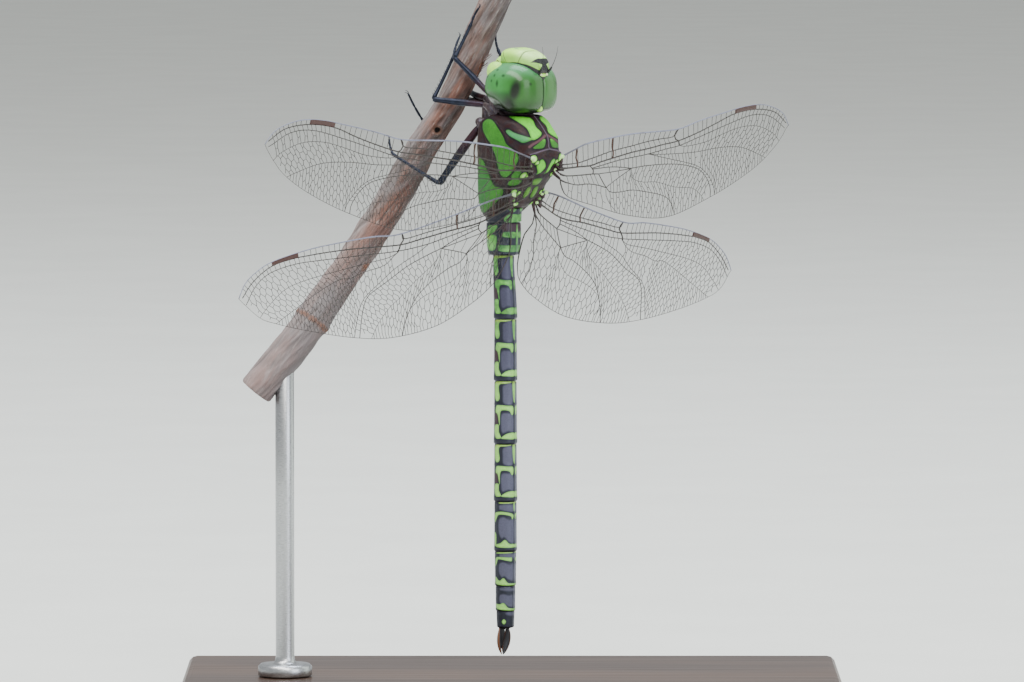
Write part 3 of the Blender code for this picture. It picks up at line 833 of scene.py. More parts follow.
# Green marks of the segments as outlines of (degrees from the middle of the back, share of the length).
MIDDLE_SEGMENT_GREEN = (
    ((20, 0.0), (100, 0.0), (116, 0.05), (117, 0.2), (108, 0.3), (90, 0.31), (80, 0.25), (86, 0.12),
     (80, 0.045), (50, 0.035), (20, 0.02)),
    ((0, 0.01), (10, 0.02), (10, 0.15), (5, 0.3), (0, 0.32)),
    ((8, 0.4), (40, 0.385), (88, 0.375), (104, 0.4), (108, 0.49), (92, 0.53), (80, 0.7), (77, 0.5),
     (62, 0.455), (30, 0.47), (18, 0.53), (8, 0.52)),
    ((86, 0.69), (112, 0.7), (118, 0.8), (106, 0.9), (84, 0.91), (72, 0.89), (84, 0.8)),
    ((3, 0.82), (36, 0.825), (58, 0.86), (70, 0.905), (40, 0.915), (3, 0.915)),
)
GREEN_MARKS = {
    1: (((8, 0.0), (36, 0.0), (32, 0.2), (14, 0.28)), ((0, 0.48), (42, 0.5), (44, 0.97), (0, 0.99))),
    2: (
        ((8, 0.29), (52, 0.285), (52, 0.41), (30, 0.44), (9, 0.46)),
        ((0, 0.7), (52, 0.68), (68, 0.65), (70, 0.8), (60, 0.86), (0, 0.875)),
        ((-3, 0.1), (3, 0.1), (4, 0.68), (-4, 0.68)),
        ((72, 0.08), (108, 0.1), (116, 0.3), (92, 0.33), (76, 0.22)),
        ((74, 0.4), (90, 0.36), (116, 0.34), (128, 0.5), (124, 0.8), (90, 0.84), (76, 0.7)),
    ),
    7: (
        ((10, 0.0), (80, 0.01), (80, 0.035), (10, 0.03)),
        ((0, 0.01), (5, 0.02), (4, 0.14), (0, 0.2)),
        ((8, 0.25), (60, 0.2), (100, 0.21), (118, 0.26), (118, 0.42), (104, 0.36), (90, 0.27), (60, 0.255),
         (22, 0.29), (14, 0.35), (8, 0.34)),
        ((104, 0.66), (120, 0.62), (126, 0.8), (112, 0.9), (104, 0.84)),
        ((3, 0.85), (30, 0.84), (52, 0.76), (76, 0.83), (104, 0.86), (96, 0.91), (3, 0.915)),
    ),
    8: (
        ((12, 0.015), (90, 0.02), (110, 0.05), (90, 0.055), (12, 0.04)),
        ((14, 0.17), (30, 0.17), (86, 0.155), (112, 0.2), (118, 0.42), (104, 0.36), (90, 0.22), (30, 0.27),
         (14, 0.27)),
        ((3, 0.92), (36, 0.9), (60, 0.76), (84, 0.84), (116, 0.72), (120, 0.88), (90, 0.96), (3, 0.975)),
    ),
    9: (((3, 0.9), (34, 0.86), (60, 0.67), (84, 0.72), (124, 0.72), (120, 0.86), (90, 0.93), (3, 0.985)),),
    10: (((46, 0.58), (60, 0.44), (74, 0.58), (60, 0.73)),),
}
SLATE_MARKS = (
    ((10, 0.05), (60, 0.06), (64, 0.2), (58, 0.35), (10, 0.35)),
    ((7, 0.55), (40, 0.5), (70, 0.52), (74, 0.66), (66, 0.82), (34, 0.79), (7, 0.8)),
)
TAIL_SLATE_MARKS = (
    ((4, 0.06), (78, 0.06), (84, 0.14), (70, 0.17), (4, 0.2)),
    ((4, 0.36), (30, 0.36), (60, 0.3), (86, 0.36), (88, 0.6), (70, 0.74), (56, 0.71), (34, 0.8), (4, 0.82)),
)
LAST_SLATE_MARKS = (((4, 0.06), (44, 0.08), (50, 0.16), (30, 0.24), (4, 0.26)),)
RUST_MARK = ((88, 0.52), (112, 0.5), (124, 0.55), (122, 0.68), (92, 0.69))
MAROON_MARK = ((0, 0.03), (52, 0.03), (52, 0.24), (0, 0.25))
FIRST_PLAIN, LAST_PLAIN = 3, 6      # the segments that all carry the same marks
LAST_KEELED = 8                     # the last segment with a cross keel a third of the way along


def abdomen_middle(along):
    """How far the abdomen's axis is off the body's, to the right and the back: a slight sag at the waist."""
    sag = step_up(along, -14.0, -7.0) * (1 - 0.6 * step_up(along, -1.0, 0.3))
    return -0.14 * sag, -0.2 * sag


def abdomen_form():
    """Rings of the abdomen's radius: swollen at each segment's hind rim, pinched at the joints, keeled above.

    radius = station radius * (1 + ridges(share)), where share runs from 0 to 1 along each segment.
    """
    along = np.linspace(SEGMENT_ENDS[0], SEGMENT_ENDS[-1], ABDOMEN_ROWS)
    turn = (np.arange(ABDOMEN_COLUMNS) + 0.5) * 2 * np.pi / ABDOMEN_COLUMNS - np.pi
    knots, radii = zip(*ABDOMEN_RADII)
    ends = np.array(SEGMENT_ENDS)
    number = np.clip(np.searchsorted(-ends, -along, side="right"), 1, 10)
    start, end = ends[number - 1], ends[number]
    share = (start - along) / (start - end)
    from_joint = np.minimum(start - along, along - end)
    radius = np.interp(along, knots, radii) + 0.04 * (2 * share - 1)
    radius *= 1 - 0.07 * bell(from_joint, 0.0, 0.1) + 0.02 * step_up(share, 0.88, 0.93)
    middle_ones = (number >= FIRST_PLAIN) & (number <= LAST_KEELED)
    radius *= 1 + 0.015 * bell((share - 0.36) * (start - end), 0.0, 0.12) * middle_ones
    radius *= 1 - 0.55 * step_up(-along, 55.3, 55.65) - 0.35 * step_up(along, 0.0, 0.16)
    away = np.abs(turn)[None]
    reach = radius[:, None] * (1 + 0.03 * bell(away, 0.0, 0.07) - 0.06 * step_up(away, 2.3, 2.9))
    reach = reach + 0.03 * bell(away, 2.05, 0.09)
    auricle = bell(away, 1.78, 0.16) * bell(along, -3.75, 0.5)[:, None]
    reach = reach + 0.34 * auricle
    right, back = abdomen_middle(along)
    points = np.stack((
        reach * np.sin(turn) + right[:, None],
        np.broadcast_to(along[:, None], reach.shape),
        reach * np.cos(turn) * ABDOMEN_DEPTH + back[:, None],
    ), axis=-1)

    around = np.broadcast_to(away * MARKS_RADIUS, reach.shape)
    green = np.full(reach.shape, UNMARKED)
    slate = green.copy()
    rust = green.copy()
    for segment in range(1, 11):
        rows = number == segment
        length = ends[segment - 1] - ends[segment]
        place = (around[rows], np.broadcast_to((share[rows] * length)[:, None], around[rows].shape))

        def laid(marks):
            return deepest(*place, [
                [(math.radians(angle) * MARKS_RADIUS, part * length) for angle, part in mark]
                for mark in marks
            ])

        plain = FIRST_PLAIN <= segment <= LAST_PLAIN
        green[rows] = laid(MIDDLE_SEGMENT_GREEN if plain else GREEN_MARKS[segment])
        if plain:
            slate[rows] = laid(SLATE_MARKS)
            rust[rows] = laid([RUST_MARK])
        elif segment == 10:
            slate[rows] = laid(LAST_SLATE_MARKS)
        elif segment > LAST_PLAIN:
            slate[rows] = laid(TAIL_SLATE_MARKS)
        elif segment == 2:
            rust[rows] = laid([MAROON_MARK])
    yellow = bell(share, 0.0, 0.06)[:, None] * (number > 2)[:, None] + auricle
    return grid_form(
        points, wrap=True, start_cap=True, end_cap=True, flip=True,
        green=green, slate=slate, rust=rust, yellow=yellow,
        rear=np.broadcast_to(step_up(-along, 6.0, 30.0)[:, None], reach.shape),
    )


class DARNER_OT_abdomen(bpy.types.Operator):
    """Builds the ten rings of the abdomen as one skin with its markings"""
    bl_idname = "darner.abdomen"
    bl_label = "Abdomen"

    def execute(self, context):
        colours = context.scene.darner_colours
        # Hard, waxy cuticle: black and violet-grey with a soft bloom, the green in sharp-edged windows.
        green = [
            colours.mark,
            (1.2, 0.3, 0.7, 1.0, 0x6CBE4A),
            ("rear", 0.0, 1.0, 0.8, 0xA6E468),
            ("yellow", 0.3, 1.0, 0.8, 0x9CB43C),
            ("green", 0.25, 0.0, 0.4, 0x3A6A22),
        ]
        material = make_material("banded_cuticle", [
            colours.black,
            ("slate", -0.12, 0.22, 1.0, [colours.slate, ("rear", 0.3, 1.0, 0.8, 0x50505F)]),
            ("rust", -0.1, 0.15, 1.0, colours.rust),
            ("green", -0.035, 0.035, 1.0, green),
            ((0.22, 3.0, 0.7), 0.7, 0.3, 0.2, 0x000000),
        ], [
            ((0.14, 3.0, 0.7), 0.02),
            (0.7, 0.05),
        ], (0.5, 0.3, 0.46), Specular_IOR_Level=0.4, Specular_Tint=linear(0xD4DEFF), Coat_Weight=0.3,
            Coat_Roughness=0.3, Coat_Tint=linear(0xDCE4FF))
        nodes = [f"abdomen_{number}" for number in range(1, 11)]
        make_piece("abdomen_skin", moved(abdomen_form(), INSECT), nodes, "abdomen", material)
        return {"FINISHED"}


def clasper_form():
    """A leaf-shaped clasper: a flattened bar that widens after its root and hooks inwards at its tip.

    Its rim is |cos t| round each ring, which is highest along the two thin edges, and 0 at the two ends.
    """
    path = catmull((
        (0.78, -55.5, -0.35), (0.9, -56.3, -0.4), (0.82, -57.3, -0.5), (0.5, -58.3, -0.55),
        (0.14, -59.1, -0.5),
    ), 10)
    share = np.linspace(0, 1, len(path))
    width = eased(share, (0, 0.12, 0.35, 0.62, 0.85, 1), (0.22, 0.3, 0.5, 0.52, 0.3, 0.05))
    sides = 20
    vertices, quads, triangles, _ = tube_form(path, width, sides, (-0.6, 0.0, 0.8), 0.42)
    edge = np.tile(np.abs(np.cos(np.arange(sides) * 2 * np.pi / sides)), len(path))
    return vertices, quads, triangles, {"rim": np.concatenate((edge, np.zeros(2)))}


def tail_plate_form():
    """The plate between and below the claspers: a flattened bar, blunt at its tip."""
    path = catmull(((0.0, -55.4, -0.6), (0.0, -56.4, -0.65), (0.0, -57.5, -0.75), (0.0, -58.4, -0.8)), 8)
    width = np.interp(np.linspace(0, 1, len(path)), (0, 0.5, 0.85, 1), (0.6, 0.52, 0.34, 0.08))
    return tube_form(path, width, 16, (0.0, 0.0, 1.0), 0.4, rim=0.0)


class DARNER_OT_claspers(bpy.types.Operator):
    """Builds the two claspers and the plate below them"""
    bl_idname = "darner.claspers"
    bl_label = "Claspers"

    def execute(self, context):
        colours = context.scene.darner_colours
        # Thin hard cuticle: nearly black in the middle, clear orange-brown where its rims let light through.
        material = make_material(
            "dark_brown_cuticle", [colours.black, ("rim", 0.6, 0.95, 1.0, 0x6E4630)],
            [((0.15, 3.0, 0.7), 0.03)], Specular_IOR_Level=0.4, Roughness=0.38,
        )
        right = clasper_form()
        form = joined((right, mirrored(right), tail_plate_form()))
        make_piece(
            "claspers", moved(form, INSECT), ["cercus_left", "cercus_right", "epiproct"], "clasper", material
        )
        return {"FINISHED"}


# ---- Thorax ----

THORAX_SECTIONS = (      # along, top, underside, half width, squareness of the top; from the waist forwards
    (0.3, 3.0, -2.7, 2.9, 2.6), (1.8, 3.95, -3.2, 3.7, 3.6), (3.4, 5.0, -3.4, 3.95, 4.0),
    (5.0, 6.4, -3.5, 4.0, 4.0), (6.6, 7.2, -3.6, 4.05, 4.0), (7.9, 7.2, -3.7, 4.1, 3.5),
    (9.6, 7.0, -3.6, 4.05, 3.3), (10.6, 6.3, -3.4, 3.95, 3.2), (11.6, 5.4, -2.8, 3.7, 3.2),
    (12.2, 4.8, -1.6, 3.1, 3.0),
)
# Marks as outlines of (distance round from the middle of the back, distance along), the same on both sides.
BACK_STRIPES = (
    ((3.9, 12.3), (2.8, 12.25), (1.2, 12.1), (0.8, 11.7), (1.1, 10.9), (0.75, 10.1), (1.8, 9.5), (2.7, 9.25),
     (2.8, 9.8), (2.7, 10.7), (3.2, 11.5)),
    ((5.95, 10.3), (5.3, 10.55), (4.7, 10.15), (3.6, 9.75), (2.7, 9.4), (3.4, 9.05), (4.1, 8.9), (4.8, 9.25),
     (5.7, 9.75)),
    ((0.65, 9.35), (2.7, 8.25), (1.7, 8.1), (0.75, 8.35)),
)
SIDE_STRIPES = (
    ((8.6, 11.7), (7.1, 11.7), (6.9, 10.4), (6.6, 8.8), (5.2, 7.8), (4.8, 6.9), (5.0, 5.9), (5.1, 5.0),
     (5.5, 4.3), (6.7, 4.7), (8.1, 6.1), (8.7, 7.7), (9.2, 8.7), (9.9, 9.5), (10.0, 10.8)),
    ((13.6, 7.0), (11.2, 6.5), (9.6, 5.3), (7.9, 4.1), (6.5, 3.3), (5.1, 3.0), (4.6, 2.1), (6.2, 1.1),
     (8.8, 0.9), (12.4, 2.6), (13.9, 5.0)),
    ((4.8, 4.7), (4.5, 5.25), (3.9, 5.1), (3.4, 4.5), (3.8, 4.15), (4.6, 4.3)),
    ((4.6, 3.6), (4.3, 4.0), (3.5, 4.05), (2.9, 3.85), (3.1, 3.4), (3.8, 3.2), (4.3, 3.3)),
)
WING_FIELD_MARKS = (
    ((1.3, 6.65), (0.75, 6.4), (0.35, 5.75), (0.45, 5.2), (0.75, 4.5), (1.25, 5.15), (1.6, 5.6),
     (1.85, 6.15)),
)
OLIVE_MARKS = (
    ((0.0, 4.15), (0.8, 4.0), (0.9, 3.6), (0.5, 3.3), (-0.5, 3.3), (-0.9, 3.6), (-0.8, 4.0)),
    ((0.35, 2.9), (1.1, 2.9), (1.25, 2.0), (0.9, 1.5), (0.3, 1.7)),
)
PALE_KNOBS = (           # round, along, radius and height of the pale knobs round the wing roots
    (2.75, 6.75, 0.5, 0.3), (2.0, 6.2, 0.32, 0.22), (3.2, 4.6, 0.4, 0.2), (2.5, 4.55, 0.28, 0.15),
    (3.1, 2.35, 0.36, 0.25), (2.3, 2.2, 0.26, 0.2), (2.7, 1.2, 0.3, 0.2), (1.6, 0.6, 0.3, 0.12),
)
SUTURES = (              # open lines, in the same two distances
    ((6.5, 12.0), (6.3, 10.6), (5.4, 8.6), (4.2, 7.7)),
    ((9.6, 11.6), (10.4, 9.6), (9.4, 7.4), (7.6, 4.7), (5.4, 3.6), (3.8, 3.0)),
    ((0.0, 8.0), (1.6, 7.75), (3.2, 7.3)),
)


SHELF = ((0.3, 9.75), (1.4, 9.25), (2.6, 8.75), (3.2, 8.35))      # a painted pinkish sheen: a pale line before the forewings
THORAX_ENDS = (0.3, 12.2)
THORAX_ROWS, THORAX_HALF_COLUMNS, THORAX_READINGS = 190, 170, 1400


def suture_gap(around, y, points):
    """The distance in millimetres from each place on the thorax to a smooth open line."""
    return line_gap(around, y, catmull(points, MARK_STEPS))


def thorax_relief(around, y, green):
    """How far the skin stands out, a sum of bells: knobs, keel, rims and plates, less hollows and grooves.

    The second result is the depth inside the lilac strip along the keel and the rim.
    """
    relief = sum(high * bell(np.hypot(around - at, y - up), 0.0, size) for at, up, size, high in PALE_KNOBS)
    keel = around + 9.0 * (y < 8.0)
    rim = suture_gap(around, y, SUTURES[2])
    relief = relief + 0.12 * bell(keel, 0.0, 0.16) + 0.2 * bell(rim, 0.0, 0.2)
    for suture in SUTURES[:2]:
        relief = relief - 0.07 * bell(suture_gap(around, y, suture), 0.0, 0.16)
    relief = relief - 0.35 * bell(np.hypot(around * 0.6, y - 7.2), 0.0, 0.5)
    relief = relief + 0.22 * bell(np.hypot(around, (y - 5.8) * 0.8), 0.0, 0.75)
    relief = relief - 0.3 * bell(around, 2.1, 0.9) * bell(y, 5.6, 0.7)
    relief = relief + 0.2 * bell(np.hypot(around, y - 3.7), 0.0, 0.7)
    relief = relief - 0.22 * bell(y, 4.5, 0.3) * bell(around, 0, 3.0)
    relief = relief + 0.22 * bell(around, 0.75, 0.4) * bell(y, 2.2, 0.7)
    relief = relief + 0.05 * step_up(green, -0.1, 0.25)
    return relief, 0.08 - np.minimum(rim, keel)


def thorax_form():
    """Half ovals above and below the middle, the upper one squarer, with sutures pressed in, plates raised.

    At angle t from the middle of the back: across = half width * sin(t) ** power and height = middle + half
    height * cos(t) ** power, read at even steps round each ring, then moved along the normal by the relief.
    """
    along = np.concatenate((np.linspace(*THORAX_ENDS, THORAX_ROWS), (12.35, 12.45)))
    stations = np.array(THORAX_SECTIONS).T
    top, under, half_width, squareness = [eased(along, stations[0], column) for column in stations[1:]]
    shrink = np.interp(along, (12.2, 12.35, 12.45), (1.0, 0.86, 0.6))
    tuck = np.interp(along, (0.3, 0.7), (0.93, 1.0))
    middle, half_height = (top + under) / 2, (top - under) / 2 * shrink * tuck
    turn = np.linspace(0.0, np.pi, THORAX_READINGS)[None]
    power = np.where(turn < np.pi / 2, 2 / squareness[:, None], 2 / 2.2)
    x = (half_width * shrink * tuck)[:, None] * np.sin(turn) ** power
    z = middle[:, None] + half_height[:, None] * np.sign(np.cos(turn)) * np.abs(np.cos(turn)) ** power
    steps = np.hypot(np.diff(x, axis=1, prepend=x[:, :1]), np.diff(z, axis=1, prepend=z[:, :1]))
    reach = np.cumsum(steps, axis=1)
    half = reach[:, -1:] * (np.arange(THORAX_HALF_COLUMNS) + 0.5) / THORAX_HALF_COLUMNS
    x, z, turn = [
        np.stack([np.interp(*row) for row in zip(half, reach, np.broadcast_to(side, x.shape))])
        for side in (x, z, turn)
    ]
    x = np.concatenate((-x[:, ::-1], x), axis=1)
    z, turn, around = [np.concatenate((side[:, ::-1], side), axis=1) for side in (z, turn, half)]
    y = np.broadcast_to(along[:, None], x.shape)
    sagging = y - 1.5 * (1 - step_up(y, 0.3, 4.5)) * step_up(turn, 0.9, 1.9)

    green = np.maximum(deepest(around, y, BACK_STRIPES), deepest(around, y, SIDE_STRIPES))
    green = np.maximum(green, deepest(around, y, WING_FIELD_MARKS))
    olive = deepest(around, y, OLIVE_MARKS)
    knobs = np.max([size - np.hypot(around - at, y - up) for at, up, size, _ in PALE_KNOBS], axis=0)
    relief, lilac = thorax_relief(around, y, green)
    points = np.stack((x, sagging, z), axis=-1)
    lines = np.gradient(points, axis=0)
    rounds = np.gradient(np.concatenate((points[:, -1:], points, points[:, :1]), axis=1), axis=1)[:, 1:-1]
    normal = np.cross(rounds, lines)
    normal /= np.linalg.norm(normal, axis=-1, keepdims=True) + 1e-12
    from_axis = np.stack((x, 0 * y, z - middle[:, None]), axis=-1)
    outward = np.sign(np.sum(normal * from_axis, axis=-1, keepdims=True))
    fade = (step_up(along, 0.3, 0.6) * (1 - step_up(along, 12.2, 12.4)))[:, None, None]
    points = points + normal * outward * relief[..., None] * fade
    # Where a painted highlight lightens the green stripes on top of the thorax.
    high = (1 - step_up(around, 2.4, 4.4)) * np.maximum(step_up(y, 8.7, 9.7), bell(y, 5.7, 1.2))
    low = step_up(around, 5.0, 9.0) * (1 - step_up(y, 3.0, 8.0))
    cool = step_up(around, 2.6, 3.6) * (1 - step_up(around, 5.8, 6.6)) * bell(y, 9.7, 1.0)
    return grid_form(
        points, wrap=True, start_cap=True, end_cap=True, green=green, olive=olive, knob=knobs, lilac=lilac,
        under=step_up(around, 11.0, 13.0), bright=high, low=low, cool=cool,
        shelf=0.16 - suture_gap(around, y, SHELF),
    )


class DARNER_OT_thorax(bpy.types.Operator):
    """Builds the thorax with its stripes, sutures and wing-root knobs, and the small collar before it"""
    bl_idname = "darner.thorax"
    bl_label = "Thorax"

    def execute(self, context):
        colours = context.scene.darner_colours
        # Waxy cuticle over pigment: maroon-brown ground, black along the edges of clear green stripes.
        green = [
            colours.mark,
            (1.4, 0.35, 0.65, 0.8, 0x3A8028),
            # Painted highlight: the green lighter on top of the thorax.
            ("bright", 0.0, 1.0, 1.0, 0x66CC36),
            ("low", 0.0, 1.0, 0.8, 0x2E6A34),
            ("cool", 0.0, 1.0, 0.9, 0x43905A),
            ("green", 0.3, 0.0, 0.4, 0x2E5A1A),
        ]
        material = make_material("striped_cuticle", [
            colours.brown,
            (1.0, 0.35, 0.65, 1.0, 0x241A20),
            ("green", -0.45, -0.12, 0.9, colours.black),
            # Painted sheen: a pale pinkish line before the forewings.
            ("shelf", -0.1, 0.1, 1.0, 0x55383F),
            ("lilac", -0.06, 0.08, 0.75, 0x6A5C72),
            ("green", -0.04, 0.04, 1.0, green),
            ("olive", -0.3, -0.1, 0.9, colours.black),
            ("olive", -0.05, 0.06, 1.0, [0x3E6A20, ("olive", 0.05, 0.4, 0.7, 0x5E9A3A)]),
            ("knob", -0.26, -0.06, 1.0, colours.black),
            ("knob", -0.05, 0.05, 1.0, 0x76C244),
            ("knob", 0.08, 0.3, 1.0, 0xC0EC92),
            ("under", 0.0, 1.0, 1.0, 0x3E302C),
            ((0.3, 3.0, 0.7), 0.7, 0.3, 0.2, 0x000000),
        ], [((0.16, 3.0, 0.7), 0.02), (0.8, 0.06)], (0.5, 0.42, 0.6), Specular_IOR_Level=0.22)
        collar = tube_form(
            catmull(((0, 12.1, 1.9), (0, 12.5, 2.0), (0, 12.9, 2.1), (0, 13.2, 2.15)), 4),
            np.array((2.4, 2.5, 2.55, 2.5, 2.3, 2.1, 2.15, 2.2, 2.1, 1.9, 1.7, 1.5, 1.2)), 40,
            (0.0, 0.0, 1.0), 0.95, green=-1.0, olive=-1.0, knob=-1.0, lilac=-1.0, shelf=-1.0,
        )
        form = moved(joined((thorax_form(), collar)), INSECT)
        make_piece("thorax_skin", form, ["thorax", "prothorax"], "thorax", material)
        return {"FINISHED"}


# ---- Head ----

EYE_OFFSET = 1.2
EYE_RADII = (3.7, 3.45, 3.9)
EYE_SQUARENESS = 2.35
EYE_HALF_GAP = 0.03      # from the middle plane to either eye's inner face
EYE_PINCH = 0.46         # how much flatter the rear of an eye is at its outer side
# Dark spots in the left eye, and the same in the right one: across, along, up, size across and along.
EYE_SPOTS = (
    (-4.04, 2.42, -0.83, 0.34, 0.28), (-4.5, 1.7, -0.99, 0.26, 0.34), (-4.57, 1.7, 0.5, 0.42, 0.3),
    (-4.86, 0.68, -0.32, 0.34, 0.75), (-2.77, 0.61, 3.64, 0.36, 0.34), (-4.67, 0.98, -1.36, 0.26, 0.3),
    (-4.03, 1.49, -2.42, 0.3, 0.3), (-4.4, 0.1, -1.9, 0.25, 0.4),
)
# The soft dark patches of an eye: lean, middle sideways and along, width the same two ways, strength.
EYE_SHADOWS = ((0.2, -0.76, -0.2, 0.78, 1.6, 1.0), (0.0, -1.6, -1.9, 1.1, 1.4, 0.7))
EYE_SIDEWAYS = (0.6015, 0.7985)     # the direction, across and up, that sideways stands for


def eye_form(side):
    """A boxy egg with its poles at the sides, stopped just short of the middle plane, where the eyes meet.

    A point on a ball, each part raised to 2 / squareness and stretched to the radii, then moved outwards by
    the offset and held back from the middle. The rear half is drawn in by a share that grows outwards and
    falls with height.
    """
    across_r, along_r, up_r = EYE_RADII
    ball = ball_form((0, 0, 0), (along_r, up_r, across_r), EYE_SQUARENESS, 120, 200)
    points = ball[0][:, (2, 0, 1)] + np.array((side * EYE_OFFSET, 0.0, 0.0))
    inner = side * points[:, 0]
    points[:, 0] = side * np.maximum(inner, EYE_HALF_GAP)
    x, y, z = side * points[:, 0], points[:, 1], points[:, 2]
    groove = bell(x, 0.0, 0.22)
    back = np.maximum(-y, 0.0) / along_r
    full = 1.6 * step_up(z, -1.2, 2.0)
    points[:, 1] = np.where(y < 0, -along_r * back * (1 + full) / (1 + full * back), y)
    # How far towards the rear of the eye, where shade is painted.
    rear = step_up(-y, 0.5, 3.2)
    points[:, 1] *= 1 - EYE_PINCH * step_up(x, 0.9, 5.0) * (y < 0) * step_up(-z, -1.6, 2.4)
    points[:, 1:] *= (1 - 0.035 * groove)[:, None]
    spots = np.max([
        1.0 - np.hypot(np.hypot(x + out, z - up) / wide, (y - along) / tall)
        for out, along, up, wide, tall in EYE_SPOTS
    ], axis=0)
    sideways = z * EYE_SIDEWAYS[1] - x * EYE_SIDEWAYS[0]
    shadow = np.zeros(len(x))
    for lean, middle, along, wide, tall, strength in EYE_SHADOWS:
        patch = strength * bell(sideways - lean * y, middle, wide) * bell(y, along, tall) * (z > 0)
        shadow = np.maximum(shadow, patch)
    outer = step_up(x * 0.8 - z * 0.55, 1.6, 4.6)
    shade = step_up(-sideways, 0.4, 1.9) * step_up(-y, -0.3, 1.1)
    return points, ball[1], ball[2], {
        "spots": spots, "shadow": shadow, "outer": outer, "front": step_up(y, 0.4, 3.2),
        "rear": rear, "shade": shade, "seam": groove * (z > 0), "side": np.full(len(x), float(side)),
    }


class DARNER_OT_eyes(bpy.types.Operator):
    """Builds the two large eyes that meet along the top of the head"""
    bl_idname = "darner.eyes"
    bl_label = "Eyes"

    def execute(self, context):
        colours = context.scene.darner_colours
        # Thousands of clear lenses over green pigment: deep, softly shaded, with dark spots without an edge.
        material = make_material("compound_eye", [
            colours.eye_green,
            ("outer", 0.0, 1.0, 1.0, colours.eye_teal),
            ("front", 0.0, 1.0, 0.7, 0x4C9464),
            # Painted shade: darker towards the rear of the eye.
            ("rear", 0.0, 1.0, 0.8, 0x1A3415),
            # Painted light: the right eye a little paler green, as if lit from its side.
            ("side", 0.0, 1.0, 0.12, 0x74B46C),
            (1.8, 0.3, 0.7, 0.3, 0x2C6624),
            # Painted shade: darkest at the far rear of the eye, on its underside.
            ("rear", 0.82, 1.0, 0.85, 0x0C150A),
            ("shade", 0.0, 1.0, 0.62, 0x10260D),
            ("shadow", 0.12, 0.85, 0.95, 0x101310),
            ("spots", 0.0, 0.9, 0.8, 0x14240F),
            ("seam", 0.55, 1.0, 0.85, 0x14280F),
        ], [(("cells", 0.08), 0.01)], Specular_IOR_Level=0.15, Roughness=0.36, Coat_Weight=0.5,
            Coat_Roughness=0.17)
        pair = joined([eye_form(side) for side in (-1, 1)])
        make_piece("eyes", moved(pair, HEAD), ["eye_left", "eye_right"], "eye", material)
        return {"FINISHED"}


FACE_PROFILE = (         # forward, up and half width of the face, from the top of the head down to the lip
    (1.75, 3.55, 2.0), (2.3, 3.9, 2.1), (2.9, 3.85, 2.25), (3.6, 3.5, 2.4), (4.25, 2.85, 2.5),
    (4.75, 1.9, 2.55), (5.05, 0.9, 2.6), (5.2, -0.1, 2.6), (5.15, -1.0, 2.55), (4.85, -1.75, 2.5),
    (4.1, -2.15, 2.3), (2.6, -2.3, 2.0),
)
FACE_STEPS = 9           # rows from point to point of the profile
FACE_COLUMNS = 90
FACE_BACK = (1.6, 0.6)   # forward and up of the line that the face's sections turn about


def outside_eye(across_mm, forward, up):
    """How far outside the eye each place lies, in millimetres: the eye's own formula, solved for its size."""
    size = 0
    for base, radius, part in zip((EYE_OFFSET, 0, 0), EYE_RADII, (across_mm, forward, up)):
        size = size + np.abs((part - base) / radius) ** EYE_SQUARENESS
    return (size ** (1 / EYE_SQUARENESS) - 1) * EYE_RADII[0]


def face_form():
    """The forehead and the plates below it: sections that fan out from a line across the head.

    At share s across (-1 to 1) a section's reach from that line is its own reach * (1 - |s| ** n) ** (1 / n),
    with n growing from the crown to the lip, so that it rounds off at both sides. `place` counts the points
    of the profile, from 0 at the crown to the last at the lip.
    """
    profile = catmull(FACE_PROFILE, FACE_STEPS)
    share = np.sin(np.linspace(-np.pi / 2, np.pi / 2, FACE_COLUMNS))
    boxy = np.interp(np.arange(len(profile)), (0, 30, 70, 99), (2.6, 3.0, 5.5, 5.0))[:, None]
    edge = (1 - np.abs(share) ** boxy) ** (1 / boxy)
    forward = FACE_BACK[0] + (profile[:, :1] - FACE_BACK[0]) * edge
    up = FACE_BACK[1] + (profile[:, 1:2] - FACE_BACK[1]) * edge
    wide = profile[:, 2:3] * share
    steps = np.linspace(0, 1, len(profile))[:, None] * np.ones((1, len(share)))
    place = steps * (len(FACE_PROFILE) - 1)
    across_mm = np.abs(wide)
    crease = bell(place, 5.35 - 0.06 * across_mm ** 2, 0.14) + bell(place, 8.5 + 0.1 * across_mm, 0.13)
    cheeks = 0.1 * bell(across_mm, 1.25, 0.7) * bell(place, 3.0, 1.3)
    furrow = 0.16 * bell(across_mm, 0.0, 0.3) * bell(place, 2.2, 1.1)
    grow = 1 + (cheeks - furrow - 0.1 * crease) / 3.0
    points = np.stack((
        wide, FACE_BACK[0] + (forward - FACE_BACK[0]) * grow, FACE_BACK[1] + (up - FACE_BACK[1]) * grow,
    ), axis=-1)
    stem = np.minimum(0.5 - across_mm + 0.5 * step_up(-place, -2.4, -0.6), 2.9 - place)
    top = 0.6 * (1 - (across_mm / 1.9) ** 2) - np.abs(place - 2.85 - 0.1 * across_mm ** 2)
    from_eye = outside_eye(across_mm, points[..., 1], points[..., 2])
    brim = np.interp(place, (0, 1.2, 4.0, 6.0, 7.5, 11), (0.75, 0.5, 0.2, 0.14, 0.05, 0.0)) - from_eye
    root = np.maximum(0.8 - place, brim)
    return grid_form(
        points,
        spot=np.maximum(np.maximum(stem, top), root),
        crease=crease,
        lower=step_up(place, 4.6, 7.0),
        rim=step_up(-from_eye, -1.9, -0.4),
        crown=bell(place, 1.9, 1.4) * step_up(across_mm, 0.6, 1.3),
        dimple=bell(np.hypot(across_mm - 1.3, (place - 6.7) * 0.9), 0.0, 0.4),
    )


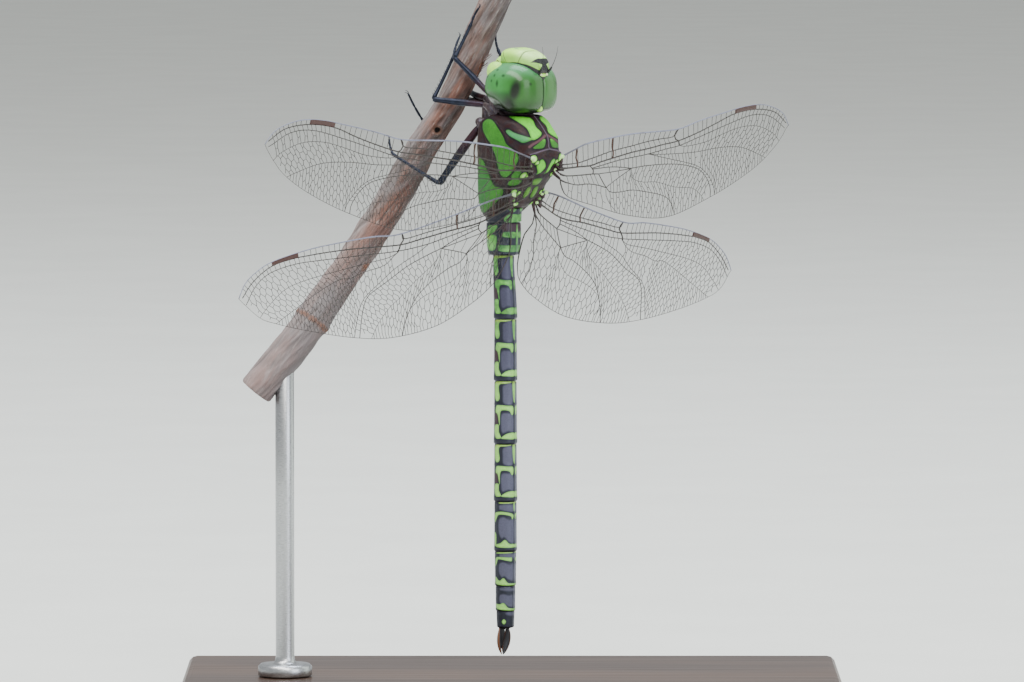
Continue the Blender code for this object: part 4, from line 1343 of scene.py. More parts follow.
def closed_face():
    """The face with its back: the same rim drawn in to one point inside the head."""
    vertices, quads, triangles, values = face_form()
    index = np.arange(len(vertices)).reshape(-1, FACE_COLUMNS)
    border = np.concatenate((index[0], index[1:, -1], index[-1, -2::-1], index[-2:0:-1, 0]))
    point = np.array([(0.0, *FACE_BACK)])
    fan = np.stack((np.roll(border, -1), border, np.full(len(border), len(vertices))), axis=-1)
    values = {name: np.append(value, value[border].mean()) for name, value in values.items()}
    return np.concatenate((vertices, point)), quads, np.concatenate((triangles, fan)), values


def tinted(form, tone):
    """A small form with one number for its colour."""
    return form[0], form[1], form[2], {"tone": np.full(len(form[0]), float(tone))}


def pair_of(form):
    """A form and its mirror image."""
    return [form, mirrored(form)]


# The colours of small parts by number: 0 black, 1 pale green, 2 green, 3 red-brown, 4 cream, 5 grey-brown.
TONES = (0x101216, 0xAEEA66, 0x6E8F3C, 0x4A2A20, 0xD9E0B8, 0x6A5A52)


def tone_material(name, **surface):
    """Mottled cuticle in one of a few colours, by the number that each small part carries."""
    tones = [("tone", number - 0.6, number - 0.4, 1.0, tint) for number, tint in enumerate(TONES)]
    mottle = (0.6, 0.7, 0.3, 0.2, 0x000000)
    return make_material(name, [TONES[0], *tones[1:], mottle], [((0.2, 3.0, 0.7), 0.03)], **surface)


def mouth_forms():
    """Lip, jaws, the cheeks below the eyes, the crown's knob with its three simple eyes, the hind plate."""
    forms = [
        tinted(ball_form((0, 2.55, -2.6), (1.6, 1.6, 1.15), 2.4, 28, 40), 1),
        tinted(ball_form((0, 1.35, -3.0), (1.75, 1.7, 1.0), 2.3, 28, 40), 2),
        tinted(ball_form((0, 0.2, -2.6), (2.0, 1.9, 1.3), 2.3, 24, 36), 5),
        tinted(ball_form((0, 1.68, 3.38), (0.76, 0.3, 0.4), 2.2, 24, 36), 1),
        tinted(ball_form((0, 1.55, 3.1), (1.25, 0.8, 0.6), 2.2, 20, 36), 0),
        tinted(ball_form((0, 2.15, 3.6), (0.2, 0.2, 0.2), 2.0, 12, 18), 5),
        tinted(ball_form((0, -2.72, 2.95), (0.34, 0.42, 0.5), 2.2, 20, 28), 1),
        tinted(ball_form((0, -2.35, -0.2), (3.3, 0.95, 3.0), 2.4, 36, 60), 0),
    ]
    jaw = tube_form(
        catmull(((1.9, 2.3, -1.3), (1.95, 2.9, -2.2), (1.3, 3.3, -2.85), (0.4, 3.35, -3.0)), 8),
        np.linspace(0.5, 0.16, 25), 14, (0, 0, 1), 0.75,
    )
    cheek = ball_form((2.95, 2.1, -1.9), (0.95, 1.35, 1.3), 2.2, 24, 30)
    side_spot = ball_form((0.6, 1.78, 3.72), (0.17, 0.17, 0.18), 2.0, 12, 16)
    for form, tone in ((jaw, 3), (cheek, 1), (side_spot, 4)):
        forms += [tinted(part, tone) for part in pair_of(form)]
    return forms


def feeler_form():
    """A thick base of two joints and a bristle-thin feeler that bends forward."""
    base = catmull(((0.9, 2.05, 3.7), (1.0, 2.45, 4.05), (1.06, 2.75, 4.2)), 6)
    hair = catmull(((1.05, 2.7, 4.18), (1.25, 3.5, 4.5), (1.5, 4.5, 4.72), (1.72, 5.5, 4.75)), 8)
    return joined([
        tinted(tube_form(base, np.linspace(0.17, 0.12, len(base)), 12), 0),
        tinted(tube_form(hair, np.linspace(0.05, 0.014, len(hair)), 8), 0),
    ])


class DARNER_OT_face(bpy.types.Operator):
    """Builds the face, the mouthparts, the knob between the eyes and the back of the head"""
    bl_idname = "darner.face"
    bl_label = "Face"

    def execute(self, context):
        colours = context.scene.darner_colours
        # Pale, slightly translucent cuticle, finely pitted; a black mark on top, greener in the grooves.
        material = make_material("face_cuticle", [
            colours.face,
            ("crown", 0.0, 1.0, 0.9, 0x74B43E),
            ("lower", 0.0, 1.0, 0.9, 0xB6F65C),
            ("rim", 0.0, 1.0, 0.9, 0x78B044),
            (0.9, 0.35, 0.65, 0.3, 0x9CCC5C),
            ("crease", 0.25, 0.9, 0.85, 0x4E6A2A),
            ("dimple", 0.3, 0.9, 0.75, 0x5F8F78),
            ("spot", -0.06, 0.06, 1.0, 0x101315),
        ], [((0.18, 3.0, 0.7), 0.035)], Roughness=0.42, Specular_IOR_Level=0.45)
        make_piece("face_skin", moved(closed_face(), HEAD), ["face"], "face", material)
        small = tone_material("mouth_cuticle", Roughness=0.45, Specular_IOR_Level=0.4)
        form = moved(joined(mouth_forms()), HEAD)
        make_piece("mouth_and_crown", form, ["mouthparts", "head"], "face", small)
        black = tone_material("feeler_cuticle", Roughness=0.4)
        feeler = joined(pair_of(feeler_form()))
        make_piece("feelers", moved(feeler, HEAD), ["antenna_left", "antenna_right"], "chitin", black)
        return {"FINISHED"}


# ---- Legs ----

LEG_POINTS = {           # hip, trochanter, knee, ankle and toe in the insect's frame
    "fore_left": (
        (-0.9, 13.5, -1.0), (0.5, 15.0, -3.3), (-0.7, 19.6, -8.1), (1.4, 24.0, -7.0), (2.0, 26.1, -6.2),
    ),
    "mid_left": (
        (-1.0, 13.0, -1.6), (0.2, 13.5, -3.7), (-2.1, 14.1, -10.6), (0.5, 19.6, -9.3), (1.9, 22.2, -9.4),
    ),
    "hind_left": (
        (-1.3, 11.3, -3.3), (-0.3, 10.6, -4.2), (-2.5, 3.0, -9.2), (-5.0, 6.8, -15.1), (-4.7, 8.8, -16.0),
    ),
    "fore_right": (
        (1.1, 13.5, -1.7), (2.8, 15.4, -3.3), (4.9, 17.7, -3.5), (5.0, 20.5, -5.3), (5.7, 22.6, -6.3),
    ),
    "mid_right": (
        (1.3, 12.9, -3.1), (2.2, 14.3, -5.2), (5.3, 15.1, -10.8), (5.4, 19.4, -9.2), (5.5, 21.8, -8.4),
    ),
    "hind_right": (
        (1.4, 11.6, -4.4), (2.6, 13.4, -5.7), (5.5, 14.3, -12.8), (1.9, 10.7, -15.4), (-1.4, 14.6, -15.4),
    ),
}
THIGH_RADII = {"fore": 0.42, "mid": 0.47, "hind": 0.6}
SHIN_RADIUS = 0.26
TOE_RADIUS = 0.19
SPINE_RADIUS = 0.024


def spines(path, radii, count, length):
    """Two rows of stiff bristles along a leg joint: three-sided bars that stand off it and lean onwards."""
    sideways, over = across(path, np.array((0.0, 0.0, 1.0)))
    at = np.linspace(0.12, 0.96, count) * (len(path) - 1)
    low = at.astype(int)
    onwards = unit(np.gradient(path, axis=0)[low])
    starts, ends = [], []
    for lean in (-0.75, 0.75):
        away = unit(over[low] * -0.65 + sideways[low] * lean)
        root = path[low] + away * radii[low][:, None] * 0.8
        starts.append(root)
        ends.append(root + (away * 0.8 + onwards * 0.6) * length * (1 - 0.35 * at / at[-1])[:, None])
    return bars_form(np.concatenate(starts), np.concatenate(ends), SPINE_RADIUS, redness=0.0)


def claw(tip, onwards, lean):
    """One hooked claw at the end of a toe."""
    side = np.cross(onwards, (0.3, 0.1, 0.95))
    side /= np.linalg.norm(side)
    down = np.cross(side, onwards)
    path = catmull((
        tip,
        tip + onwards * 0.28 + side * 0.14 * lean,
        tip + onwards * 0.5 + side * 0.2 * lean - down * 0.12,
        tip + onwards * 0.55 + side * 0.22 * lean - down * 0.32,
    ), 4)
    return tube_form(path, np.linspace(0.07, 0.02, len(path)), 6, redness=0.0)


def leg_form(kind, points):
    """A leg as bars along bowed paths: hip, thigh, shin with its spines, three toe joints and two claws."""
    hip, trochanter, knee, ankle, toe = np.array(points)
    thick = THIGH_RADII[kind]
    start = np.array((0.45 * np.sign(hip[0]) + hip[0] * 0.4, hip[1] - 0.9, hip[2] + 0.9))
    haunch = catmull((start, hip, trochanter), 8)
    width = np.interp(np.linspace(0, 1, len(haunch)), (0, 0.4, 0.75, 1), (0.95, 0.7, 0.44, 0.34))
    forms = [tube_form(haunch, width, 16, redness=1.0, down=1.0)]
    bow = np.cross(knee - trochanter, (0.35, 0.1, 0.93))
    bow = bow / np.linalg.norm(bow) * 0.22
    thigh = catmull((
        trochanter, trochanter * 0.65 + knee * 0.35 + bow, trochanter * 0.3 + knee * 0.7 + bow, knee,
    ), 12)
    share = np.linspace(0, 1, len(thigh))
    width = thick * np.interp(share, (0, 0.08, 0.4, 0.85, 0.95, 1), (0.62, 0.86, 1.0, 0.74, 0.82, 0.6))
    red_to = 0.7 if kind == "hind" else 0.5
    forms.append(tube_form(thigh, width, 16, redness=1 - step_up(share, 0.1, red_to)))
    forms.append(spines(thigh, width, 10, 0.16))
    shin = catmull((knee, knee * 0.6 + ankle * 0.4 + bow * 0.5, ankle), 14)
    share = np.linspace(0, 1, len(shin))
    width = SHIN_RADIUS * np.interp(share, (0, 0.06, 0.3, 0.9, 1), (0.75, 1.2, 0.95, 0.8, 1.0))
    forms.append(tube_form(shin, width, 12, redness=0.0))
    forms.append(spines(shin, width, 16, 0.34))
    run = toe - ankle
    dip = np.cross(run, np.cross(run, (0.0, 0.0, 1.0)))
    dip = dip / (np.linalg.norm(dip) + 1e-9) * 0.12
    foot = catmull((ankle, ankle + run * 0.35 + dip, ankle + run * 0.7 + dip, toe), 12)
    share = np.linspace(0, 1, len(foot))
    joint = bell(share, 0.2, 0.035) + bell(share, 0.52, 0.035)
    forms.append(tube_form(foot, TOE_RADIUS * (1 - 0.25 * share) * (1 - 0.28 * joint), 10, redness=0.0))
    onwards = (foot[-1] - foot[-3]) / np.linalg.norm(foot[-1] - foot[-3])
    forms += [claw(foot[-1], onwards, lean) for lean in (-1, 1)]
    return joined(forms)


class DARNER_OT_legs(bpy.types.Operator):
    """Builds the six legs with their spines and claws"""
    bl_idname = "darner.legs"
    bl_label = "Legs"

    def execute(self, context):
        colours = context.scene.darner_colours
        # Hard black cuticle with a cold sheen; red-brown towards the body, where it is thinner and softer.
        material = make_material("black_leg_cuticle", [
            colours.black,
            (0.7, 0.35, 0.7, 0.25, 0x2A3444),
            ("redness", 0.0, 1.0, 0.75, colours.rust),
            ("down", 0.0, 1.0, 1.0, [0x3A3032, (0.3, 0.4, 0.7, 0.6, 0x6A5E5A)]),
        ], [((0.25, 3.0, 0.7), 0.03)], (0.5, 0.28, 0.46), Specular_IOR_Level=0.35,
            Specular_Tint=linear(0xC8D4FF))
        for name, points in LEG_POINTS.items():
            form = leg_form(name.split("_")[0], points)
            nodes = [part + "_" + name for part in ("femur", "tibia", "tarsus")]
            make_piece("leg_" + name, moved(form, INSECT), nodes, "chitin", material)
        return {"FINISHED"}


# ---- Wings ----

# Each wing is drawn flat: distance along the span, distance towards the leading edge.
# "front" and "rear" are the two margins, from the root to the tip.
FORE_VEINS = {
    "front": ((-0.9, 0.1), (2.4, 0.85), (5.6, 1.45), (14.0, 1.8), (19.5, 1.68), (25.4, 1.55), (30.2, 2.25),
              (36.0, 2.9), (40.5, 3.3), (44.2, 3.25), (47.2, 2.6), (49.6, 1.5), (51.0, -0.2)),
    "rear": ((-0.9, -2.6), (-0.6, -4.2), (1.2, -5.4), (6.3, -6.9), (14.3, -9.0), (23.6, -10.1),
             (33.5, -8.4), (41.0, -6.3), (46.0, -4.25), (49.0, -2.2), (51.0, -0.2)),
    "sc": ((-0.5, -0.92), (2.8, -0.96), (6.2, -0.6), (10.6, -0.07), (15.1, 0.2), (18.4, 0.43), (21.6, 0.55),
           (24.5, 0.6), (25.4, 1.5)),
    "nodus": ((25.5, 1.55), (24.8, 0.95), (25.0, 0.25), (25.7, -0.08), (25.75, -0.63)),
    "r": ((-0.9, -1.4), (2.8, -1.49), (5.9, -1.6), (8.2, -1.31), (12.4, -0.9), (15.1, -0.65), (18.5, -0.48),
          (21.6, -0.26), (25.7, -0.05), (30.2, 0.7), (34.0, 1.5), (38.3, 2.5), (43.0, 2.7), (47.5, 1.95),
          (50.4, 0.2)),
    "arculus": ((5.8, -1.6), (6.4, -2.3), (6.1, -2.71)),
    "rp": ((6.2, -1.95), (8.6, -1.75), (12.4, -1.43), (15.1, -1.35), (18.9, -1.22), (22.8, -0.9),
           (26.0, -0.68), (30.2, 0.05), (36.1, 1.1), (42.2, 1.95), (46.5, 1.45), (50.2, -0.5)),
    "rp2": ((25.75, -0.66), (27.5, -0.95), (31.9, -0.75), (36.0, 0.0), (40.0, 0.55), (44.0, 0.3),
            (47.5, -1.0), (49.0, -2.15)),
    "ir2": ((18.9, -1.25), (22.8, -1.6), (29.2, -1.9), (34.8, -1.8), (40.0, -2.2), (44.5, -3.6),
            (46.0, -4.2)),
    "rp34": ((18.9, -1.22), (22.8, -2.12), (27.0, -3.04), (30.3, -3.89), (32.5, -5.18), (34.1, -6.96),
             (34.5, -8.15)),
    "ma": ((6.4, -2.08), (10.2, -2.16), (13.3, -2.5), (14.9, -2.75), (17.6, -2.71), (20.8, -2.81),
           (24.0, -3.03), (27.1, -3.45), (30.4, -4.3), (32.3, -5.6), (33.4, -7.2), (33.5, -8.35)),
    "mp": ((-0.9, -2.1), (1.0, -2.51), (6.2, -2.72), (7.5, -2.84)),
    "top": ((7.5, -2.82), (10.0, -2.84), (12.4, -2.82), (14.9, -2.79)),
    "inner": ((7.5, -2.82), (8.4, -3.8), (9.4, -4.81)),
    "outer": ((9.4, -4.81), (12.2, -3.75), (14.9, -2.79)),
    "cua": ((9.4, -4.81), (10.2, -5.49), (12.5, -5.71), (15.2, -5.7), (18.7, -6.3), (21.9, -7.01),
            (24.0, -8.0), (25.2, -9.9)),
    "cup": ((9.3, -5.01), (9.3, -5.94), (9.8, -6.78), (10.7, -7.6), (11.6, -8.25)),
    "anal": ((-0.7, -2.9), (0.3, -3.3), (2.6, -3.84), (5.0, -3.94), (7.3, -4.28), (9.4, -4.85)),
    "mspl": ((14.9, -2.9), (15.2, -3.56), (15.6, -4.27), (17.7, -4.87), (20.9, -5.17), (25.1, -6.24),
             (29.1, -6.76), (31.2, -7.9), (32.0, -8.65)),
}
HIND_VEINS = {
    "front": ((-1.2, 0.1), (3.0, 0.38), (11.0, 0.25), (20.4, 0.4), (25.5, 1.4), (31.5, 2.2), (37.0, 2.75),
              (43.2, 2.85), (46.5, 2.2), (48.5, 1.3), (50.0, -0.2)),
    "rear": ((-1.0, -2.6), (-0.6, -4.3), (-1.1, -6.2), (-0.7, -8.7), (0.6, -10.9), (2.2, -12.1),
             (6.0, -13.3), (13.5, -14.2), (22.6, -13.1), (30.0, -11.0), (38.5, -7.7), (44.5, -5.0),
             (47.3, -3.35), (50.0, -0.2)),
    "sc": ((-0.6, -1.0), (3.4, -1.45), (10.6, -1.15), (15.1, -0.81), (19.6, -0.5), (20.1, 0.35)),
    "nodus": ((20.1, 0.35), (19.7, -0.53), (20.4, -1.07), (21.1, -1.91)),
    "r": ((-0.9, -1.5), (5.3, -2.2), (10.8, -1.7), (16.5, -1.36), (20.3, -1.1), (25.2, -0.1), (29.2, 0.74),
          (33.6, 1.5), (36.8, 1.95), (39.8, 2.3), (43.5, 2.3), (47.0, 1.2), (49.3, -0.3)),
    "arculus": ((5.3, -2.2), (5.6, -3.0), (5.1, -3.7)),
    "rp": ((5.5, -2.55), (8.1, -2.55), (12.7, -2.45), (15.3, -2.4), (20.7, -1.8), (28.5, -0.36),
           (34.9, 0.81), (39.5, 1.5), (44.0, 1.5), (47.0, 0.4), (49.0, -1.3)),
    "rp2": ((20.9, -1.9), (22.8, -2.2), (27.0, -1.78), (32.4, -1.36), (38.0, -1.0), (42.0, -1.2),
            (45.5, -2.6), (47.0, -3.5)),
    "ir2": ((21.1, -1.95), (23.6, -2.91), (27.4, -2.8), (30.1, -2.94), (32.1, -2.54), (36.0, -3.1),
            (41.0, -4.2), (44.5, -5.0)),
    "rp34": ((15.3, -2.51), (17.4, -3.1), (21.4, -3.79), (24.2, -4.86), (27.4, -5.97), (28.4, -6.59),
             (29.2, -7.65), (30.5, -10.8)),
    "ma": ((5.5, -3.0), (9.8, -3.21), (12.9, -3.66), (15.2, -3.78), (19.3, -4.23), (23.1, -5.23),
           (27.0, -6.07), (28.0, -7.0), (28.6, -8.2), (29.5, -11.15)),
    "mp": ((-0.7, -2.3), (0.6, -2.85), (5.1, -3.75)),
    "top": ((5.1, -3.75), (7.7, -3.72), (10.3, -3.7), (12.9, -3.66)),
    "inner": ((5.1, -3.75), (6.4, -4.85), (7.8, -5.9)),
    "outer": ((7.8, -5.9), (10.3, -4.75), (12.9, -3.66)),
    "cua": ((7.8, -5.92), (9.1, -6.73), (11.3, -6.88), (14.6, -7.61), (17.4, -8.68), (18.9, -9.93),
            (20.2, -11.53), (21.0, -13.35)),
    "cup": ((7.8, -5.92), (7.6, -7.0), (8.8, -7.94), (10.8, -8.89), (13.7, -9.06), (16.8, -9.37),
            (18.8, -10.04)),
    "anal": ((-0.8, -3.0), (1.8, -4.14), (4.4, -4.91), (7.8, -5.92)),
    "mspl": ((13.0, -3.8), (13.1, -4.45), (14.5, -5.55), (15.7, -5.98), (18.4, -6.92), (21.2, -8.12),
             (23.2, -8.8), (25.6, -10.3), (27.2, -11.9)),
    "corner": ((-1.0, -2.65), (0.3, -4.07), (1.3, -6.2), (2.6, -8.6), (2.9, -10.6), (2.4, -12.2)),
}
# Rows of cells: the lines above and below, each as stretches (vein, from, to) along the span; the width of a
# cell at the first and at the last column; and the height of a cell, or FULL for one from line to line.
FULL = 9.0
FORE_CELLS = (
    ((("front", -0.4, 24.9),), (("sc", -0.4, 24.4),), 1.15, 1.15, FULL),
    ((("sc", -0.4, 24.4),), (("r", -0.4, 24.8),), 1.1, 1.1, FULL),
    ((("front", 25.6, 38.3),), (("r", 25.8, 38.3),), 1.05, 1.05, FULL),
    ((("front", 43.0, 50.4),), (("r", 43.0, 50.2),), 0.85, 0.7, FULL),
    ((("r", 6.6, 25.6),), (("rp", 6.6, 25.8),), 1.2, 1.1, FULL),
    ((("r", 26.0, 50.2),), (("rp", 26.0, 49.8),), 1.1, 0.7, FULL),
    ((("rp", 26.5, 49.8),), (("rp2", 26.5, 48.9),), 1.0, 0.6, 1.15),
    ((("rp", 19.2, 25.6),), (("ir2", 19.2, 25.6),), 1.0, 0.9, FULL),
    ((("rp2", 26.0, 48.8),), (("ir2", 26.0, 45.9),), 0.9, 0.6, 1.15),
    ((("ir2", 19.2, 30.0),), (("rp34", 19.2, 30.4),), 0.9, 0.7, 1.1),
    ((("ir2", 30.0, 45.8),), (("rp34", 30.4, 34.5), ("rear", 34.5, 45.9)), 0.62, 0.6, 1.1),
    ((("rp", 6.8, 18.9),), (("ma", 6.8, 18.8),), 0.95, 0.9, FULL),
    ((("rp34", 19.4, 34.2),), (("ma", 19.5, 33.4),), 0.8, 0.6, FULL),
    ((("ma", 7.6, 14.2),), (("top", 7.6, 14.2),), 2.0, 2.0, FULL),
    ((("top", 8.9, 14.0),), (("outer", 9.6, 14.0),), 1.5, 2.2, FULL),
    ((("ma", 15.2, 33.3),), (("mspl", 15.1, 31.9),), 0.76, 0.62, 1.15),
    ((("outer", 9.7, 14.6), ("mspl", 15.0, 31.9)), (("cua", 9.7, 25.2), ("rear", 25.2, 32.0)),
     0.75, 0.62, 1.2),
    ((("mp", -0.2, 7.4),), (("anal", -0.2, 8.9),), 1.1, 1.1, FULL),
    ((("anal", -0.2, 9.3),), (("rear", -0.3, 9.3),), 1.05, 1.05, 1.35),
    ((("cua", 9.6, 25.0),), (("rear", 9.8, 25.0),), 0.68, 0.62, 1.2),
)
HIND_CELLS = (
    ((("front", -0.5, 19.8),), (("sc", -0.4, 19.5),), 1.15, 1.15, FULL),
    ((("sc", -0.4, 19.5),), (("r", -0.4, 20.0),), 1.1, 1.1, FULL),
    ((("front", 20.5, 38.6),), (("r", 20.7, 38.6),), 1.05, 1.05, FULL),
    ((("front", 43.2, 49.5),), (("r", 43.2, 49.0),), 0.85, 0.7, FULL),
    ((("r", 5.8, 20.4),), (("rp", 5.9, 20.7),), 1.2, 1.1, FULL),
    ((("r", 20.8, 49.1),), (("rp", 20.9, 48.7),), 1.1, 0.7, FULL),
    ((("rp", 21.4, 48.7),), (("rp2", 21.4, 46.9),), 1.0, 0.6, 1.15),
    ((("rp", 15.6, 20.8),), (("rp34", 15.6, 21.0),), 1.0, 0.9, FULL),
    ((("rp2", 21.6, 46.8),), (("ir2", 21.6, 44.4),), 0.9, 0.6, 1.15),
    ((("ir2", 21.4, 29.0),), (("rp34", 21.2, 28.5),), 0.85, 0.7, 1.1),
    ((("ir2", 29.0, 44.3),), (("rp34", 28.5, 30.5), ("rear", 30.5, 44.5)), 0.62, 0.6, 1.1),
    ((("rp", 6.0, 15.2),), (("ma", 5.9, 15.0),), 0.95, 0.9, FULL),
    ((("rp34", 15.6, 30.3),), (("ma", 15.6, 29.4),), 0.85, 0.62, FULL),
    ((("ma", 5.8, 12.3),), (("top", 5.6, 12.3),), 2.0, 2.0, FULL),
    ((("top", 6.5, 12.0),), (("outer", 8.0, 12.0),), 1.5, 2.2, FULL),
    ((("ma", 13.2, 29.3),), (("mspl", 13.1, 27.1),), 0.76, 0.62, 1.15),
    ((("outer", 8.1, 12.6), ("mspl", 13.0, 27.1)), (("cua", 8.1, 21.0), ("rear", 21.0, 27.2)),
     0.75, 0.62, 1.2),
    ((("mp", -0.2, 5.0),), (("anal", -0.2, 7.6),), 1.2, 1.2, FULL),
    ((("anal", 0.2, 7.7), ("cup", 7.9, 18.8), ("cua", 18.9, 20.8)), (("rear", 0.9, 20.8),), 1.1, 0.66, 1.35),
    ((("cua", 8.2, 18.8),), (("cup", 8.2, 18.5),), 0.85, 0.7, FULL),
)
# Thickness of the veins at the root and at the tip, as shares of the main veins'.
VEIN_WEIGHTS = {
    "front": (1.8, 0.9), "r": (1.7, 1.0), "sc": (1.2, 0.8), "nodus": (1.7, 1.2), "arculus": (1.2, 1.0),
    "rp": (1.1, 0.75), "ma": (1.1, 0.6), "rear": (0.75, 0.45), "mp": (1.3, 0.9), "anal": (1.1, 0.7),
    "top": (0.9, 0.9), "inner": (1.0, 1.0), "outer": (0.9, 0.9), "cua": (1.0, 0.5), "rp34": (0.9, 0.5),
    "rp2": (0.85, 0.55), "ir2": (0.9, 0.55), "corner": (0.9, 0.5), "cup": (0.6, 0.5), "mspl": (0.6, 0.45),
}
# Folds of the wings: distance behind the leading edge, and height.
FLUTES = ((-30, 0.0), (0, 0.0), (1.25, -0.2), (2.0, 0.1), (2.9, -0.1), (4.2, 0.14), (6.0, -0.08), (8.5, 0.1),
          (12.0, 0.0), (30, 0.0))
# Veins, cells, hinge, pitch at root and tip, the two thick rungs, from where to where the dark cell near the
# tip reaches, how far the root reaches across the wing, and the two ends of its line on the thorax.
WING_PAIRS = {
    "fore": (FORE_VEINS, FORE_CELLS, (3.65, 6.7, 6.95), (1.0, 8.0), (2.85, 10.8), (38.3, 43.0), 2.0,
             ((2.6, 7.0, 6.6), (2.2, 5.0, 5.5))),
    "hind": (HIND_VEINS, HIND_CELLS, (3.95, 1.8, 3.8), (18.0, -4.0), (2.8, 9.7), (38.6, 43.2), 2.3,
             ((2.6, 2.2, 3.9), (1.9, 0.9, 2.9))),
}
WINGS = (                # name, side, sweep and droop in degrees
    ("forewing_left", -1, (4.6, 2.2)), ("forewing_right", 1, (2.9, 1.9)),
    ("hindwing_left", -1, (-12.7, 5.9)), ("hindwing_right", 1, (-14.4, 7.5)),
)
SKIN_ROWS, SKIN_COLUMNS = 26, 14
# The plates of a hinge: row and column of its skin, half length, and how pale it is.
HINGE_PLATES = (
    (1, 8, 0.34, 1.0), (5, 4, 0.24, 1.0), (9, 10, 0.26, 0.0), (14, 5, 0.26, 0.5), (23, 4, 0.26, 1.0),
)
FILM_HALF_MM, SPOT_HALF_MM = 0.01, 0.07     # half thickness of the membrane and of the dark cell
STRETCH_STEPS = 600      # readings along a line between which the cells' walls are set


class Wing:
    """One wing: its veins, and the way from its flat drawing to the insect's frame."""

    def __init__(self, veins, side, hinge, angles, pitch):
        sweep, droop = [math.radians(angle) for angle in angles]
        self.veins = {name: catmull(points, 8) for name, points in veins.items()}
        self.side, self.pitch = side, pitch
        self.hinge = np.array((side * hinge[0], hinge[1], hinge[2]))
        self.span = np.array((
            side * math.cos(sweep) * math.cos(droop), math.sin(sweep), -math.cos(sweep) * math.sin(droop),
        ))
        level = np.array((0.0, 1.0, 0.0)) - self.span * self.span[1]
        self.level = level / np.linalg.norm(level)
        self.upwards = np.cross(self.span, self.level) * side

    def placed(self, flat, lift=0.0):
        """Places of the drawing (along, forward) in the insect's frame.

        point = hinge + along * span + forward * chord + (flutes + lift) * normal. The chord is pitched about
        the span by an angle that changes evenly from the root to the tip, and the flutes are a wave of the
        distance behind the leading edge.
        """
        along, forward = flat[..., 0], flat[..., 1]
        reach = self.veins["front"][-1, 0]
        root, tip = self.pitch
        turn = np.radians(root + (tip - root) * np.maximum(along, 0.0) / reach)[..., None]
        chord = self.level * np.cos(turn) + self.upwards * np.sin(turn)
        normal = self.upwards * np.cos(turn) - self.level * np.sin(turn)
        behind = np.interp(along, *self.veins["front"].T) - forward
        height = np.interp(behind, *zip(*FLUTES)) * (1 - 0.6 * np.clip(along / reach, 0, 1)) + lift
        along, forward, height = along[..., None], forward[..., None], height[..., None]
        return self.hinge + along * self.span + forward * chord + height * normal

    def stretch(self, parts, count):
        """`count` places at even steps along stretches of veins, each from one place to another."""
        lines = []
        for name, start, end in parts:
            line = resampled(self.veins[name], 400)
            first = np.argmax(line[:, 0] >= start)
            last = np.argmax(line[:, 0] >= end) or len(line) - 1
            lines.append(line[first:last + 1])
        return resampled(np.concatenate(lines), count)


def cell_walls(wing, rows_of_cells, chance):
    """Straight walls between pairs of lines: columns from line to line, and walls across at their joints.

    The joints of neighbouring columns are shifted to and fro, so that the cells become six-sided.
    """
    starts, ends = [], []
    for above, below, first, last, height in rows_of_cells:
        top, bottom = wing.stretch(above, STRETCH_STEPS), wing.stretch(below, STRETCH_STEPS)
        lengths = [np.linalg.norm(np.diff(line, axis=0), axis=1).sum() for line in (top, bottom)]
        columns = max(2, round(sum(lengths) / (first + last)))
        even = np.linspace(0, 1, columns + 1)
        place = even * (2 * first + (last - first) * even) / (first + last)
        jitter = chance.uniform(-0.14, 0.14, columns + 1) / columns
        at = np.clip((place + jitter) * (STRETCH_STEPS - 1), 0, STRETCH_STEPS - 1).astype(int)
        before = None
        for column, index in enumerate(at):
            gap = np.linalg.norm(top[index] - bottom[index])
            joints = max(1, round(2 * gap / height) - 1)
            share = np.linspace(0, 1, joints + 1)
            share[1:-1] += chance.uniform(-0.12, 0.12, joints - 1) / joints
            line = top[index] + (bottom[index] - top[index]) * share[:, None]
            shift = np.where((np.arange(joints + 1) + column) % 2 == 0, 1, -1) * 0.17 * (first + last) / 2
            shift[0] = shift[-1] = 0.0
            line[:, 0] += shift + np.where(shift == 0, 0, chance.uniform(-0.05, 0.05, joints + 1))
            if 0 < column < columns:
                starts.append(line[:-1])
                ends.append(line[1:])
            if before is not None:
                inner = np.arange(1, min(len(before), len(line)) - 1)
                inner = inner[(inner + column - 1) % 2 == 0]
                starts.append(before[inner])
                ends.append(line[inner])
            before = line
    return np.concatenate(starts), np.concatenate(ends)


def bars_form(starts, ends, radius, **values):
    """Straight three-sided bars between pairs of places, closed at both ends."""
    run = ends - starts
    side = np.cross(run, (0.31, 0.52, 0.79))
    side /= np.linalg.norm(side, axis=1, keepdims=True) + 1e-9
    over = np.cross(run, side)
    over /= np.linalg.norm(over, axis=1, keepdims=True) + 1e-9
    turn = np.arange(3) * 2 * np.pi / 3
    ring = radius * spokes(side, over, turn)
    vertices = np.stack((starts[:, None] + ring, ends[:, None] + ring), axis=1).reshape(-1, 3)
    base = np.arange(len(starts))[:, None] * 6
    quads = np.concatenate([base + corner for corner in ((0, 1, 4, 3), (1, 2, 5, 4), (2, 0, 3, 5))])
    triangles = np.concatenate([base + corner for corner in ((2, 1, 0), (3, 4, 5))])
    values = {name: np.full(len(vertices), value) for name, value in values.items()}
    return vertices, quads, triangles, values


